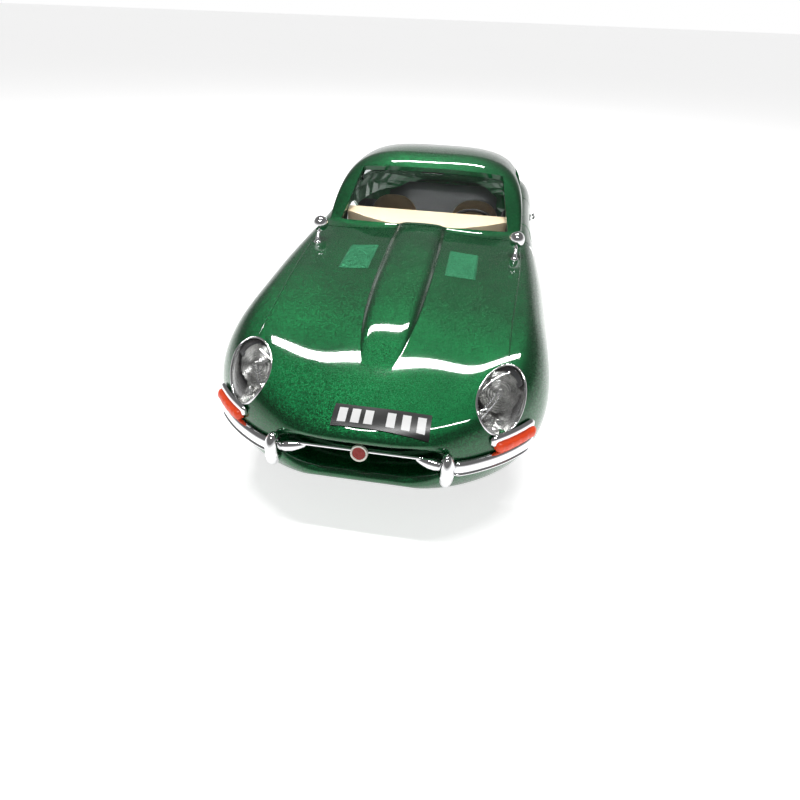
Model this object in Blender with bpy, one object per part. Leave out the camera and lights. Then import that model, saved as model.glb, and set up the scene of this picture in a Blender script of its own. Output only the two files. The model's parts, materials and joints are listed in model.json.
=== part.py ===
"""A 1:18 diecast collector car: a long-nosed two-seat fixed-head coupe.

Run it with blender --background --python part.py, or from Blender's text editor.
The body is drawn in the full-size car's own millimetres: x to the car's left, y back
from the nose, z up from the road. place() brings a drawn point to the model, in metres,
with the nose towards -Y and the origin under the middle of the model.
"""

import math

import bpy
import numpy as np
from mathutils import Matrix, Vector

# ---------------------------------------------------------------- overall sizes, in metres
LENGTH = 0.2474
WIDTH = 0.0921
HEIGHT = 0.0678

# ---------------------------------------------------------------- sizes set by themselves
WALL = 0.0013            # cast body skin
GLASS = 0.0008           # clear mouldings
FIT = 0.0003             # between two fixed pieces that meet
SHUT_GAP = 0.0005        # round the bonnet and the doors
RUNNING = 0.00006        # radial, a pin in its hole
TYRE_RADIUS = 0.0185
TYRE_WIDTH = 0.0092
RIM_RADIUS = 0.0110
ARCH_GAP = 0.0023        # between the tread and the wheel arch
REAR_ARCH_DROP = 0.0040
AXLE_RADIUS = 0.0010
KINGPIN_RADIUS = 0.0010
KINGPIN_BOSS = 0.0021
HINGE_PIN_RADIUS = 0.0008
STEERING_ARM = 0.0060
TRACK_ROD_PIN = 0.0006
LAMP_DEPTH = 0.0075
PLATE_THICKNESS = 0.0004
SCREW_RADIUS = 0.0016
TUB_TO_TYRE = 0.0029

# ---------------------------------------------------------------- the drawing's own sizes
DRAWN_LENGTH = 4453.0
DRAWN_WIDTH = 1657.0
DRAWN_HEIGHT = 1219.0
NOSE_TIP = -45.0         # front of the overriders
TAIL_TIP = NOSE_TIP + DRAWN_LENGTH
MIDDLE = NOSE_TIP + DRAWN_LENGTH / 2

# one row per station, nose to tail: y, height on the centre line, wing crest x and z,
# widest point x and z, lower edge x and z, depth of the valley beside the wing, and how
# far the section sweeps back at x = 400
STATIONS = np.array([
    (150, 545, 160, 542, 335, 482, 160, 425, 0, 50),
    (55, 553, 180, 550, 368, 482, 180, 405, 0, 55),
    (15, 572, 190, 566, 392, 482, 190, 388, 0, 60),
    (5, 590, 210, 584, 425, 480, 215, 366, 0, 62),
    (22, 612, 284, 602, 502, 478, 270, 335, 0, 60),
    (78, 640, 410, 640, 602, 480, 375, 300, 4, 50),
    (190, 672, 532, 690, 710, 490, 508, 265, 8, 38),
    (370, 712, 628, 744, 792, 503, 614, 238, 12, 24),
    (650, 768, 665, 796, 826, 515, 690, 222, 16, 10),
    (1000, 815, 668, 824, 827, 522, 706, 214, 18, 0),
    (1380, 846, 672, 838, 828.5, 525, 712, 210, 18, 0),
    (1750, 866, 672, 846, 817, 527, 714, 208, 12, 0),
    (2100, 875, 670, 852, 802, 528, 712, 208, 4, 0),
    (2500, 880, 672, 858, 799, 532, 710, 208, 0, 0),
    (2900, 880, 680, 868, 808, 540, 708, 212, 0, 0),
    (3250, 880, 680, 878, 817, 552, 704, 225, 0, 0),
    (3600, 862, 652, 862, 800, 562, 672, 250, 0, -10),
    (3900, 820, 596, 820, 748, 568, 610, 285, 0, -25),
    (4120, 765, 520, 765, 672, 570, 530, 322, 0, -36),
    (4270, 710, 425, 710, 572, 562, 430, 362, 0, -45),
    (4350, 660, 330, 660, 470, 552, 330, 398, 0, -50),
    (4385, 615, 240, 615, 370, 540, 240, 432, 0, -50),
])
LAST_STATION = len(STATIONS) - 1

# the roof line on the centre, and half the roof's width at its foot: y, value
ROOF_LINE = np.array([
    (1900, 1150), (2200, 1185), (2450, 1208), (2720, 1219), (2960, 1206), (3220, 1163),
    (3500, 1085), (3800, 965), (4050, 842), (4250, 725), (4400, 600),
])
ROOF_HALF = np.array([
    (1900, 655), (2300, 662), (2800, 660), (3100, 640), (3400, 595), (3700, 530),
    (4000, 440), (4300, 330), (4400, 290),
])
ROOF_FOOT = 845.0
ROOF_SQUARENESS = 3.3
SCREEN_FOOT = (1946.0, 878.0)
SCREEN_RISE = 0.592      # height gained per length along the centre line
SCREEN_SWEEP = 126.0     # how far the screen curves back at x = 600
SCREEN_TO_ROOF = 50.0
ROOF_TO_BODY = 22.0

BULGE_TIP = 395.0
BULGE_END = 1930.0
BULGE_HALF = (70.0, 162.0)
BULGE_SPREAD = 300.0     # how far back most of the widening is done
BULGE_RISE = 520.0       # how far back it has its full height
BULGE_HEIGHT = 30.0
BULGE_SHOULDER = 0.86    # where its flat top ends, as a share of its half width

FRONT_AXLE = 810.0
REAR_AXLE = 3248.0
HALF_TRACK = 635.0
SCUTTLE_LOW = 840.0      # the lowest skin over the tub's front panel
BONNET_PIVOT = (290.0, 300.0)
BONNET_SHUT_TOP = 1905.0
BONNET_SHUT_SIDE = 1800.0
DOOR_FRONT = 2060.0
DOOR_REAR = 2930.0
DOOR_BOTTOM = 292.0
BELT = 885.0
LAMP_CENTRE = (574.0, 306.0, 694.0)
LAMP_AIM = (0.22, -0.58, 0.78)
LAMP_HALF = (102.0, 174.0)
LAMP_LEAN = math.radians(-14)

TOP_POINTS = 9           # along half of each section's top, then its side and lower edge
SIDE_POINTS = 3
LOWER_POINTS = 2


def place(x, y, z):
    """A drawn point on the model, in metres."""
    return Vector((
        x * WIDTH / DRAWN_WIDTH,
        (y - MIDDLE) * LENGTH / DRAWN_LENGTH,
        z * HEIGHT / DRAWN_HEIGHT,
    ))


def drawn_x(metres):
    return metres * DRAWN_WIDTH / WIDTH


def drawn_y(metres):
    return metres * DRAWN_LENGTH / LENGTH


def drawn_z(metres):
    return metres * DRAWN_HEIGHT / HEIGHT


# ---------------------------------------------------------------- the body's surface
def through(points, at):
    """A natural cubic through rows of (position, value)."""
    position, value = points[:, 0], points[:, 1]
    count = len(position)
    step = np.diff(position)
    matrix = np.eye(count)
    target = np.zeros(count)
    for i in range(1, count - 1):
        matrix[i, i - 1:i + 2] = step[i - 1], 2 * (step[i - 1] + step[i]), step[i]
        target[i] = 6 * (
            (value[i + 1] - value[i]) / step[i] - (value[i] - value[i - 1]) / step[i - 1]
        )
    bend = np.linalg.solve(matrix, target)
    at = np.asarray(at, float)
    i = np.clip(np.searchsorted(position, at) - 1, 0, count - 2)
    past, left = at - position[i], position[i + 1] - at
    return (
        (bend[i] * left**3 + bend[i + 1] * past**3) / (6 * step[i])
        + (value[i] / step[i] - bend[i] * step[i] / 6) * left
        + (value[i + 1] / step[i] - bend[i + 1] * step[i] / 6) * past
    )


def smooth(u):
    u = np.clip(u, 0, 1)
    return u * u * (3 - 2 * u)


def blend_up(a, b, width):
    """The higher of two heights, rounded where they meet."""
    share = np.clip(0.5 + 0.5 * (a - b) / width, 0, 1)
    return b + (a - b) * share + width * share * (1 - share)


def blend_down(a, b, width):
    return -blend_up(-a, -b, width)


def station(t):
    """Every column of STATIONS at a place between rows."""
    index = np.arange(len(STATIONS), dtype=float)
    return [
        float(through(np.stack([index, STATIONS[:, column]], 1), t))
        for column in range(STATIONS.shape[1])
    ]


def bulge_half(y):
    """Half the width of the long raised panel down the middle of the bonnet."""
    past = np.clip(y - BULGE_TIP, 0, None)
    return BULGE_HALF[0] + (BULGE_HALF[1] - BULGE_HALF[0]) * (1 - np.exp(-past / BULGE_SPREAD))


def bulge(x, y):
    """Height of that panel: a flat top with steep sides."""
    across = np.clip(np.abs(x) / bulge_half(y), 0, 1)
    rise = BULGE_HEIGHT * smooth((y - BULGE_TIP) / BULGE_RISE) ** 0.8
    return rise * (1 - 0.15 * across**2) * (1 - across**9)


def cabin(x, y):
    """Height of the screen, the roof and the sloping tail."""
    within = np.clip(y, ROOF_LINE[0, 0], ROOF_LINE[-1, 0])
    half = through(ROOF_HALF, within)
    top = through(ROOF_LINE, within)
    foot = blend_down(ROOF_FOOT, top - 120, 60)
    across = np.abs(x) / half
    round_top = (1 - np.clip(across, 0, 1) ** ROOF_SQUARENESS) ** (1 / ROOF_SQUARENESS)
    roof = foot + (top - foot) * round_top - 4000 * np.clip(across - 1, 0, None)
    screen_y = SCREEN_FOOT[0] + SCREEN_SWEEP * (x / 600) ** 2
    screen = SCREEN_FOOT[1] + SCREEN_RISE * (y - screen_y)
    return blend_down(roof, screen, SCREEN_TO_ROOF)


def half_section(t):
    """Drawn points from the centre line over the wing and down to the lower edge."""
    (y_start, top, crest_x, crest_z, wide_x, wide_z,
     low_x, low_z, valley, sweep) = station(t)
    across = np.linspace(0, 1, 241)
    x = across * crest_x
    y = y_start + sweep * (x / 400) ** 2
    bonnet_top = crest_z + (top - crest_z) * (1 - smooth(across))
    bonnet_top = bonnet_top - valley * np.sin(np.pi * across) ** 2 * smooth(across * 1.3)
    bonnet_top = bonnet_top + np.where(y < BULGE_END + 30, bulge(x, y), 0)
    over = blend_up(bonnet_top, cabin(x, y), ROOF_TO_BODY)
    z = np.where(y > 1900, over, bonnet_top)
    run = np.concatenate([[0], np.cumsum(np.hypot(np.diff(x), np.diff(z)))])
    share = np.linspace(0, 1, TOP_POINTS)
    half = float(bulge_half(y_start))
    on_bonnet = np.interp(share, [0, 0.25, 0.375, 1], [0, BULGE_SHOULDER * half, half, crest_x])
    on_cabin = np.interp(share * run[-1], run, x)
    top_x = on_bonnet + (on_cabin - on_bonnet) * smooth((y_start - 1880) / 120)
    side = np.linspace(0, np.pi / 2, SIDE_POINTS + 1)[1:]
    lower = np.linspace(0, np.pi / 2, LOWER_POINTS + 1)[1:]
    all_x = np.concatenate([
        top_x,
        crest_x + (wide_x - crest_x) * np.sin(side),
        low_x + (wide_x - low_x) * np.cos(lower),
    ])
    all_z = np.concatenate([
        np.interp(top_x, x, z),
        wide_z + (crest_z - wide_z) * np.cos(side),
        wide_z - (wide_z - low_z) * np.sin(lower),
    ])
    return np.stack([all_x, y_start + sweep * (all_x / 400) ** 2, all_z], 1)


def flank(t, z):
    """The drawn point on the car's left flank at a height."""
    (y_start, _, crest_x, crest_z, wide_x, wide_z, low_x, low_z, _, sweep) = station(t)
    if z >= wide_z:
        reach = math.sqrt(max(0.0, 1 - ((z - wide_z) / (crest_z - wide_z)) ** 2))
        x = crest_x + (wide_x - crest_x) * reach
    else:
        reach = math.sqrt(max(0.0, 1 - ((wide_z - z) / (wide_z - low_z)) ** 2))
        x = low_x + (wide_x - low_x) * reach
    return x, y_start + sweep * (x / 400) ** 2


def rows_between(first, last):
    """Places for the sections: closer together where the screen meets the body."""
    places = [first, last]
    for low, high, step in ((0, 11.5, 0.5), (11.5, 13.9, 0.14), (14.1, 21, 0.6)):
        places.extend(np.arange(low, high, step))
    places.append(LAST_STATION)
    kept = sorted({round(float(t), 3) for t in places if first <= t <= last})
    return kept


def body_solid(name, inset, first=0.0, open_below=False, tail_inset=0.0):
    """The body as one closed solid, its skin moved in by inset metres."""
    rings = []
    for t in rows_between(first, LAST_STATION):
        half = half_section(t)
        mirrored = half[:0:-1] * (-1, 1, 1)
        rings.append([place(*point) for point in np.concatenate([mirrored, half])])
    grid = np.array(rings)
    along = np.gradient(grid, axis=0)
    around = np.gradient(grid, axis=1)
    normal = np.cross(around, along)
    normal /= np.linalg.norm(normal, axis=2, keepdims=True)
    grid = grid - normal * inset
    grid[-1, :, 1] -= tail_inset
    if open_below:
        drop = np.zeros_like(grid[:, :1])
        drop[..., 2] = -0.006
        grid = np.concatenate([grid[:, :1] + drop, grid, grid[:, -1:] + drop], axis=1)
    return loft(name, grid)


# ---------------------------------------------------------------- solids
def new_object(name, points, faces):
    mesh = bpy.data.meshes.new(name)
    mesh.from_pydata([tuple(point) for point in points], [], faces)
    mesh.validate()
    made = bpy.data.objects.new(name, mesh)
    bpy.context.scene.collection.objects.link(made)
    return face_outwards(made)


def signed_volume(mesh):
    total = 0.0
    for polygon in mesh.polygons:
        corners = [mesh.vertices[i].co for i in polygon.vertices]
        for second, third in zip(corners[1:-1], corners[2:]):
            total += corners[0].dot(second.cross(third))
    return total


def face_outwards(made):
    if signed_volume(made.data) < 0:
        made.data.flip_normals()
    return made


def loft(name, grid):
    """A solid through a grid of closed rings, with a fan over each end.

    The two halves of a ring are divided in mirror image, so a solid that is the same on
    both sides stays so."""
    rows, count = len(grid), len(grid[0])
    points = [point for ring in grid for point in ring]
    faces = []
    for row in range(rows - 1):
        low, high = row * count, (row + 1) * count
        for i in range(count):
            after = (i + 1) % count
            if i < count // 2:
                faces.append((low + i, low + after, high + after))
                faces.append((low + i, high + after, high + i))
            else:
                faces.append((low + i, low + after, high + i))
                faces.append((low + after, high + after, high + i))
    for row, turned_over in ((0, True), (rows - 1, False)):
        middle = len(points)
        points.append(np.mean(np.array(grid[row]), axis=0))
        for i in range(count):
            edge = [row * count + i, row * count + (i + 1) % count]
            if turned_over:
                edge.reverse()
            faces.append((middle, *edge))
    return new_object(name, points, faces)


def prism(name, outline, sweep):
    """A solid from a flat outline of points, pushed along a vector."""
    count = len(outline)
    points = [Vector(point) for point in outline]
    points += [point + Vector(sweep) for point in points]
    faces = [tuple(range(count)), tuple(range(2 * count - 1, count - 1, -1))]
    for i in range(count):
        after = (i + 1) % count
        faces.append((i, i + count, after + count, after))
    return new_object(name, points, faces)


def box(name, low, high):
    """A box between two corners in metres."""
    base = [
        (low[0], low[1], low[2]), (high[0], low[1], low[2]),
        (high[0], high[1], low[2]), (low[0], high[1], low[2]),
    ]
    return prism(name, base, (0, 0, high[2] - low[2]))


def side_prism(name, outline, x_low, x_high):
    """A solid from a drawn outline of (y, z), between two drawn x."""
    return prism(
        name, [place(x_low, y, z) for y, z in outline],
        place(x_high, 0, 0) - place(x_low, 0, 0),
    )


def plan_prism(name, outline, z_low, z_high):
    """A solid from a drawn outline of (x, y), between two drawn heights."""
    return prism(
        name, [place(x, y, z_low) for x, y in outline],
        place(0, 0, z_high) - place(0, 0, z_low),
    )


def front_prism(name, outline, y_low, y_high):
    """A solid from a drawn outline of (x, z), between two drawn y."""
    return prism(
        name, [place(x, y_low, z) for x, z in outline],
        place(0, y_high, 0) - place(0, y_low, 0),
    )


def spokes(axis):
    """Two directions across an axis, one of them straight down where that can be."""
    up = Vector((0, 0, 1)) if abs(axis.z) < 0.9 else Vector((0, 1, 0))
    across = axis.cross(up).normalized()
    return across, axis.cross(across)


def turned(name, start, axis, profile, sides=24):
    """A solid turned round an axis, from a closed or open run of (along, radius)."""
    axis = Vector(axis).normalized()
    across, other = spokes(axis)
    rings = []
    for along, radius in profile:
        ring = []
        for i in range(sides):
            angle = math.tau * i / sides
            spoke = across * math.cos(angle) + other * math.sin(angle)
            ring.append(Vector(start) + axis * along + spoke * radius)
        rings.append(ring)
    return loft(name, rings)


def ring_solid(name, start, axis, profile, sides=32):
    """A solid ring turned round an axis, from a closed outline of (along, radius)."""
    axis = Vector(axis).normalized()
    across, other = spokes(axis)
    count = len(profile)
    points = []
    for i in range(sides):
        angle = math.tau * i / sides
        spoke = across * math.cos(angle) + other * math.sin(angle)
        points += [Vector(start) + axis * along + spoke * radius for along, radius in profile]
    faces = []
    for i in range(sides):
        following = (i + 1) % sides
        for j in range(count):
            after = (j + 1) % count
            faces.append((
                i * count + j, i * count + after,
                following * count + after, following * count + j,
            ))
    return new_object(name, points, faces)


def rod(name, start, end, radius, sides=16):
    start, end = Vector(start), Vector(end)
    return turned(name, start, end - start, [(0, radius), ((end - start).length, radius)], sides)


def combine(target, tool, operation):
    """Change target by a boolean with tool, which is used up."""
    modifier = target.modifiers.new(operation.lower(), "BOOLEAN")
    modifier.operation = operation
    modifier.solver = "EXACT"
    modifier.object = tool
    bpy.context.view_layer.update()
    shaped = target.evaluated_get(bpy.context.evaluated_depsgraph_get())
    result = bpy.data.meshes.new_from_object(shaped)
    target.modifiers.clear()
    target.data = result
    bpy.data.objects.remove(tool)
    return target


def cut(target, *tools):
    for tool in tools:
        combine(target, tool, "DIFFERENCE")
    return target


def add(target, *tools):
    for tool in tools:
        combine(target, tool, "UNION")
    return target


def keep(target, tool):
    return combine(target, tool, "INTERSECT")


def copy_of(source, name):
    made = bpy.data.objects.new(name, source.data.copy())
    bpy.context.scene.collection.objects.link(made)
    return made


def mirror_of(source, name):
    """A copy on the car's other side."""
    made = copy_of(source, name)
    made.data.transform(Matrix.Diagonal((-1, 1, 1, 1)))
    made.data.flip_normals()
    return made


# ---------------------------------------------------------------- outlines
def rounded(corners, radius, steps=3):
    """A closed outline with its corners rounded off."""
    outline = []
    count = len(corners)
    for i in range(count):
        here = Vector(corners[i])
        before = (Vector(corners[i - 1]) - here)
        after = (Vector(corners[(i + 1) % count]) - here)
        reach = min(radius, before.length / 2.1, after.length / 2.1)
        start = here + before.normalized() * reach
        end = here + after.normalized() * reach
        for k in range(steps + 1):
            u = k / steps
            point = start * (1 - u) ** 2 + here * 2 * u * (1 - u) + end * u**2
            outline.append(tuple(point))
    return outline


def door_outline(shrink):
    """The door in side view, made smaller all round by a drawn amount."""
    front, rear = DOOR_FRONT + shrink, DOOR_REAR - shrink
    bottom, top = DOOR_BOTTOM + shrink, BELT - shrink
    return rounded([
        (front, bottom), (rear, bottom), (rear, top), (2275 + shrink, top),
        (2240 + shrink, 824 - shrink), (front, 820 - shrink),
    ], 40)


def side_window_outline(grow):
    return rounded([
        (2232 - grow, BELT - grow - 4), (2884 + grow, BELT - grow - 4), (2884 + grow, 1096 + grow),
        (2620 - grow, 1106 + grow), (2486 - grow, 1066 + grow),
    ], 26)


def quarter_window_outline(grow):
    return rounded([
        (2968 - grow, 922 - grow), (3320 + grow, 932 - grow), (3240 + grow, 1040 + grow),
        (2968 - grow, 1090 + grow),
    ], 34)


def screen_outline(grow):
    """The windscreen in plan, as (x, y)."""
    lower = [
        (x, 1955 - grow + 78 * (x / 570) ** 2)
        for x in np.linspace(-572 - grow, 572 + grow, 13)
    ]
    upper = [
        (x, 2408 + grow + 44 * (x / 500) ** 2)
        for x in np.linspace(500 + grow, -500 - grow, 9)
    ]
    return lower + upper


def rear_window_outline(grow):
    return rounded([
        (-400 - grow, 3210 - grow), (400 + grow, 3210 - grow),
        (318 + grow, 3880 + grow), (-318 - grow, 3880 + grow),
    ], 90)


def lamp_outline(grow):
    """The headlamp opening, seen along its own axis, in metres from its centre."""
    points = []
    for i in range(22):
        angle = math.tau * i / 22
        u = LAMP_HALF[0] * math.sin(angle) * (1 - 0.16 * math.cos(angle))
        v = LAMP_HALF[1] * math.cos(angle)
        across = drawn_point_scale()[0] * (u * math.cos(LAMP_LEAN) - v * math.sin(LAMP_LEAN))
        along = drawn_point_scale()[1] * (u * math.sin(LAMP_LEAN) + v * math.cos(LAMP_LEAN))
        out = math.hypot(across, along)
        points.append((across * (1 + grow / out), along * (1 + grow / out)))
    return points


def drawn_point_scale():
    """Metres for one drawn millimetre across and along."""
    return WIDTH / DRAWN_WIDTH, LENGTH / DRAWN_LENGTH


def lamp_axes():
    outward = Vector(LAMP_AIM).normalized()
    across = Vector((1, 0, 0)) - outward * outward.x
    across.normalize()
    return across, outward.cross(across), outward


def lamp_prism(name, grow, low, high):
    """A solid of the lamp's outline, from low to high metres out from its centre."""
    across, back, outward = lamp_axes()
    centre = place(*LAMP_CENTRE)
    outline = [centre + across * u + back * v + outward * low for u, v in lamp_outline(grow)]
    return prism(name, outline, outward * (high - low))


# ---------------------------------------------------------------- body, bonnet and doors
def bonnet_region(name, gap):
    top, side = BONNET_SHUT_TOP - gap, BONNET_SHUT_SIDE - gap
    return side_prism(name, [
        (-200, -100), (side, -100), (side, 800), (top, 838), (top, 1500), (-200, 1500),
    ], -1000, 1000)


def wheel_arch(name, axle, drop):
    centre = place(0, axle, 0)
    centre.z = TYRE_RADIUS - drop
    inner = place(455, 0, 0).x
    outer = WIDTH
    start = Vector((inner, centre.y, centre.z))
    return rod(name, start, start + Vector((outer, 0, 0)), TYRE_RADIUS + ARCH_GAP, 32)


def make_shell():
    """The whole painted skin, before it is divided."""
    shell = body_solid("shell", 0.0)
    cut(shell, body_solid("inside", WALL, first=6.0, open_below=True, tail_inset=WALL))
    duct = [(320 * math.cos(a), 482 + 50 * math.sin(a)) for a in np.arange(20) * math.tau / 20]
    cut(shell, front_prism("duct", duct, 130, 300))
    for axle, drop in ((FRONT_AXLE, 0.0), (REAR_AXLE, REAR_ARCH_DROP)):
        left = wheel_arch("arch", axle, drop)
        right = mirror_of(left, "arch_right")
        cut(shell, left, right)
    return shell


def make_bonnet(shell):
    gap = drawn_y(SHUT_GAP)
    bonnet = keep(copy_of(shell, "bonnet"), bonnet_region("front_half", gap / 2))
    pivot = place(0, *BONNET_PIVOT)
    lug_radius = HINGE_PIN_RADIUS + 0.0010
    for side in (-1, 1):
        inner, outer = sorted((place(side * 292, 0, 0).x, place(side * 326, 0, 0).x))
        lug = box(
            "lug", (inner, place(0, 205, 0).y, pivot.z - lug_radius),
            (outer, pivot.y, pivot.z + lug_radius),
        )
        eye = rod("eye", (inner, pivot.y, pivot.z), (outer, pivot.y, pivot.z), lug_radius)
        add(lug, eye)
        add(bonnet, lug)
    half = place(340, 0, 0).x
    cut(bonnet, rod(
        "bore", (-half, pivot.y, pivot.z), (half, pivot.y, pivot.z),
        HINGE_PIN_RADIUS + RUNNING,
    ))
    left = lamp_prism("lamp_hole", FIT, -LAMP_DEPTH - FIT, 0.02)
    right = mirror_of(left, "lamp_hole_right")
    return cut(bonnet, left, right)


def make_body(shell):
    gap = drawn_y(SHUT_GAP)
    body = cut(copy_of(shell, "body_shell"), bonnet_region("bonnet_space", -gap / 2))
    for side in (-1, 1):
        cut(
            body,
            side_prism("door_space", door_outline(0), side * 560, side * 1000),
            side_prism("window_space", side_window_outline(0), side * 330, side * 1000),
            side_prism("quarter_space", quarter_window_outline(0), side * 330, side * 1000),
        )
    return cut(
        body,
        plan_prism("screen_space", screen_outline(0), 800, 1400),
        plan_prism("rear_space", rear_window_outline(0), 800, 1400),
    )


def make_doors(shell):
    gap = drawn_y(SHUT_GAP)
    left = keep(
        copy_of(shell, "door_left"),
        side_prism("door_region", door_outline(gap), 560, 1000),
    )
    card_rows = np.linspace(330, 800, 7)
    layer = []
    for stand in (WALL + FIT, WALL + FIT + 0.0010):
        layer.append([flank(13.1, z)[0] - drawn_x(stand) - 18 for z in card_rows])
    outline = list(zip(layer[0], card_rows)) + list(zip(layer[1][::-1], card_rows[::-1]))
    card = front_prism("door_card_left", outline, DOOR_FRONT + 70, DOOR_REAR - 70)
    x, y = flank(13.85, 770)
    handle_low = place(x, y - 120, 762)
    handle_low.x += FIT
    handle_high = place(x, y - 10, 778)
    handle_high.x = handle_low.x + 0.0010
    handle = box("door_handle_left", handle_low, handle_high)
    return [left, card, handle] + [
        mirror_of(piece, piece.name.replace("left", "right")) for piece in (left, card, handle)
    ]


def make_glass():
    layer = body_solid("layer", WALL + FIT, first=11.0)
    cut(layer, body_solid("layer_inside", WALL + FIT + GLASS, first=10.9))
    lap = 22
    screen = keep(
        copy_of(layer, "windscreen_glass"),
        plan_prism("screen_region", screen_outline(lap), 826, 1400),
    )
    rear = keep(
        copy_of(layer, "rear_window_glass"),
        plan_prism("rear_region", rear_window_outline(lap), 820, 1400),
    )
    quarter = keep(
        copy_of(layer, "quarter_glass_left"),
        side_prism("quarter_region", quarter_window_outline(lap), 420, 1000),
    )
    mirror_of(quarter, "quarter_glass_right")
    bpy.data.objects.remove(layer)
    return screen, rear, quarter


def make_lamps():
    lens = body_solid("headlamp_lens_left", 0.0, first=3.5)
    cut(lens, body_solid("lens_inside", GLASS, first=3.4))
    keep(lens, lamp_prism("lens_region", 0, -0.02, 0.02))
    bowl = body_solid("headlamp_bowl_left", GLASS + FIT, first=4.0)
    keep(bowl, lamp_prism("bowl_region", 0, -LAMP_DEPTH, 0.02))
    cut(bowl, lamp_prism("bowl_inside", -0.0010, -LAMP_DEPTH + 0.0012, 0.03))
    mirror_of(lens, "headlamp_lens_right")
    mirror_of(bowl, "headlamp_bowl_right")


# ---------------------------------------------------------------- trim along the flanks
def rail(name, places, z, half_height, thickness, stand):
    """A bar of D-shaped section that follows the flank at a height."""
    rings = []
    taper = np.sin(np.linspace(0.18, 1, len(places)) * np.pi * 0.55)
    base = [place(*flank(t, z), z) for t in places]
    for i, here in enumerate(base):
        before = base[max(i - 1, 0)]
        after = base[min(i + 1, len(base) - 1)]
        run = after - before
        out = Vector((-run.y, run.x, 0)).normalized()
        if out.x < 0 and abs(out.x) > 0.5:
            out = -out
        if here.y < 0 < out.y or here.y > 0 > out.y:
            out = -out
        tall = half_height * (0.55 + 0.45 * taper[-1 - i])
        section = (
            (0, -1), (0.55, -0.86), (0.9, -0.5), (1, 0), (0.9, 0.5), (0.55, 0.86), (0, 1),
        )
        rings.append([
            here + out * (stand + thickness * u) + Vector((0, 0, tall * v))
            for u, v in section
        ])
    return loft(name, rings)


def pod(name, x, y_out, y_in, z_low, z_high, half_width):
    """An upright rounded overrider, its outermost point at a drawn y."""
    rings = []
    middle, reach = (y_out + y_in) / 2, (y_out - y_in) / 2
    for u in (0.0, 0.12, 0.3, 0.5, 0.7, 0.88, 1.0):
        size = math.sqrt(1 - 0.8 * (2 * u - 1) ** 2)
        z = z_low + (z_high - z_low) * u
        ring = []
        for i in range(12):
            angle = math.tau * i / 12
            ring.append(place(
                x + half_width * size * math.sin(angle),
                middle + reach * size * math.cos(angle), z,
            ))
        rings.append(ring)
    return loft(name, rings)


def make_trim():
    front = rail(
        "front_bumper_left", np.linspace(2.2, 6.15, 9), 474, 0.0018, 0.0015, FIT,
    )
    add(front, pod("overrider", 376, NOSE_TIP, 64, 418, 572, 34))
    indicator = rail(
        "indicator_left", np.linspace(4.75, 6.15, 8), 546, 0.0012, 0.0017, FIT,
    )
    rear = rail(
        "rear_bumper_left", np.linspace(20.85, 17.6, 8), 520, 0.0018, 0.0015, FIT,
    )
    add(rear, pod("rear_overrider", 398, TAIL_TIP, 4350, 458, 606, 32))
    tail = rail("tail_lamp_left", np.linspace(19.8, 18.9, 6), 628, 0.0012, 0.0014, FIT)
    for piece in (front, indicator, rear, tail):
        mirror_of(piece, piece.name.replace("left", "right"))
    bar_y, bar_z = 40.0, 516.0
    reach = place(322, 0, 0).x
    bar = place(0, bar_y, bar_z)
    rod("grille_bar", (-reach, bar.y, bar.z), (reach, bar.y, bar.z), 0.0004, 10)
    face = place(0, bar_y, bar_z) - Vector((0, 0.0004 + FIT, 0))
    turned("badge", face, (0, -1, 0.25), [(0, 0.0020), (0.0006, 0.0021), (0.0009, 0.0017)], 24)
    plate = body_solid("front_plate", -PLATE_THICKNESS - 0.0001, first=3.0)
    cut(plate, body_solid("plate_back", -0.0001, first=2.9))
    keep(plate, plan_prism("plate_region", [
        (-170, 42), (290, 42), (290, 160), (-170, 160),
    ], 598, 900))
    panel = place(0, 4385, 0).y + FIT
    low, high = place(-215, 0, 462), place(215, 0, 566)
    box("rear_plate", (low.x, panel, low.z), (high.x, panel + PLATE_THICKNESS, high.z))
    return bar


def make_mirror():
    foot = place(612, 1590, 0)
    foot.z = surface_height(612, 1590) + FIT
    head = foot + Vector((0.0002, 0.0050, 0.0048))
    stalk = rod("wing_mirror_left", foot, head, 0.00045, 8)
    foot_disc = turned("foot", foot, (0, 0, 1), [(0, 0.0012), (0.0006, 0.0008)], 12)
    add(stalk, foot_disc)
    add(stalk, turned("head", head - Vector((0, 0.0012, 0)), (0, 1, 0), [
        (0, 0.0007), (0.0005, 0.0017), (0.0012, 0.0023), (0.0021, 0.0026), (0.0028, 0.0025),
    ], 16))
    mirror_of(stalk, "wing_mirror_right")


def surface_height(x, y):
    """Model height of the bonnet or cowl above a drawn x and y, in metres."""
    low, high = 3.5, float(LAST_STATION)
    for _ in range(40):
        middle = (low + high) / 2
        start, sweep = station(middle)[0], station(middle)[9]
        if start + sweep * (x / 400) ** 2 < y:
            low = middle
        else:
            high = middle
    half = half_section(low)
    return place(0, 0, float(np.interp(x, half[:TOP_POINTS, 0], half[:TOP_POINTS, 2]))).z


# ---------------------------------------------------------------- floor and running gear
CHASSIS_LOW = 206.0
CHASSIS_HIGH = 244.0


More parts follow.
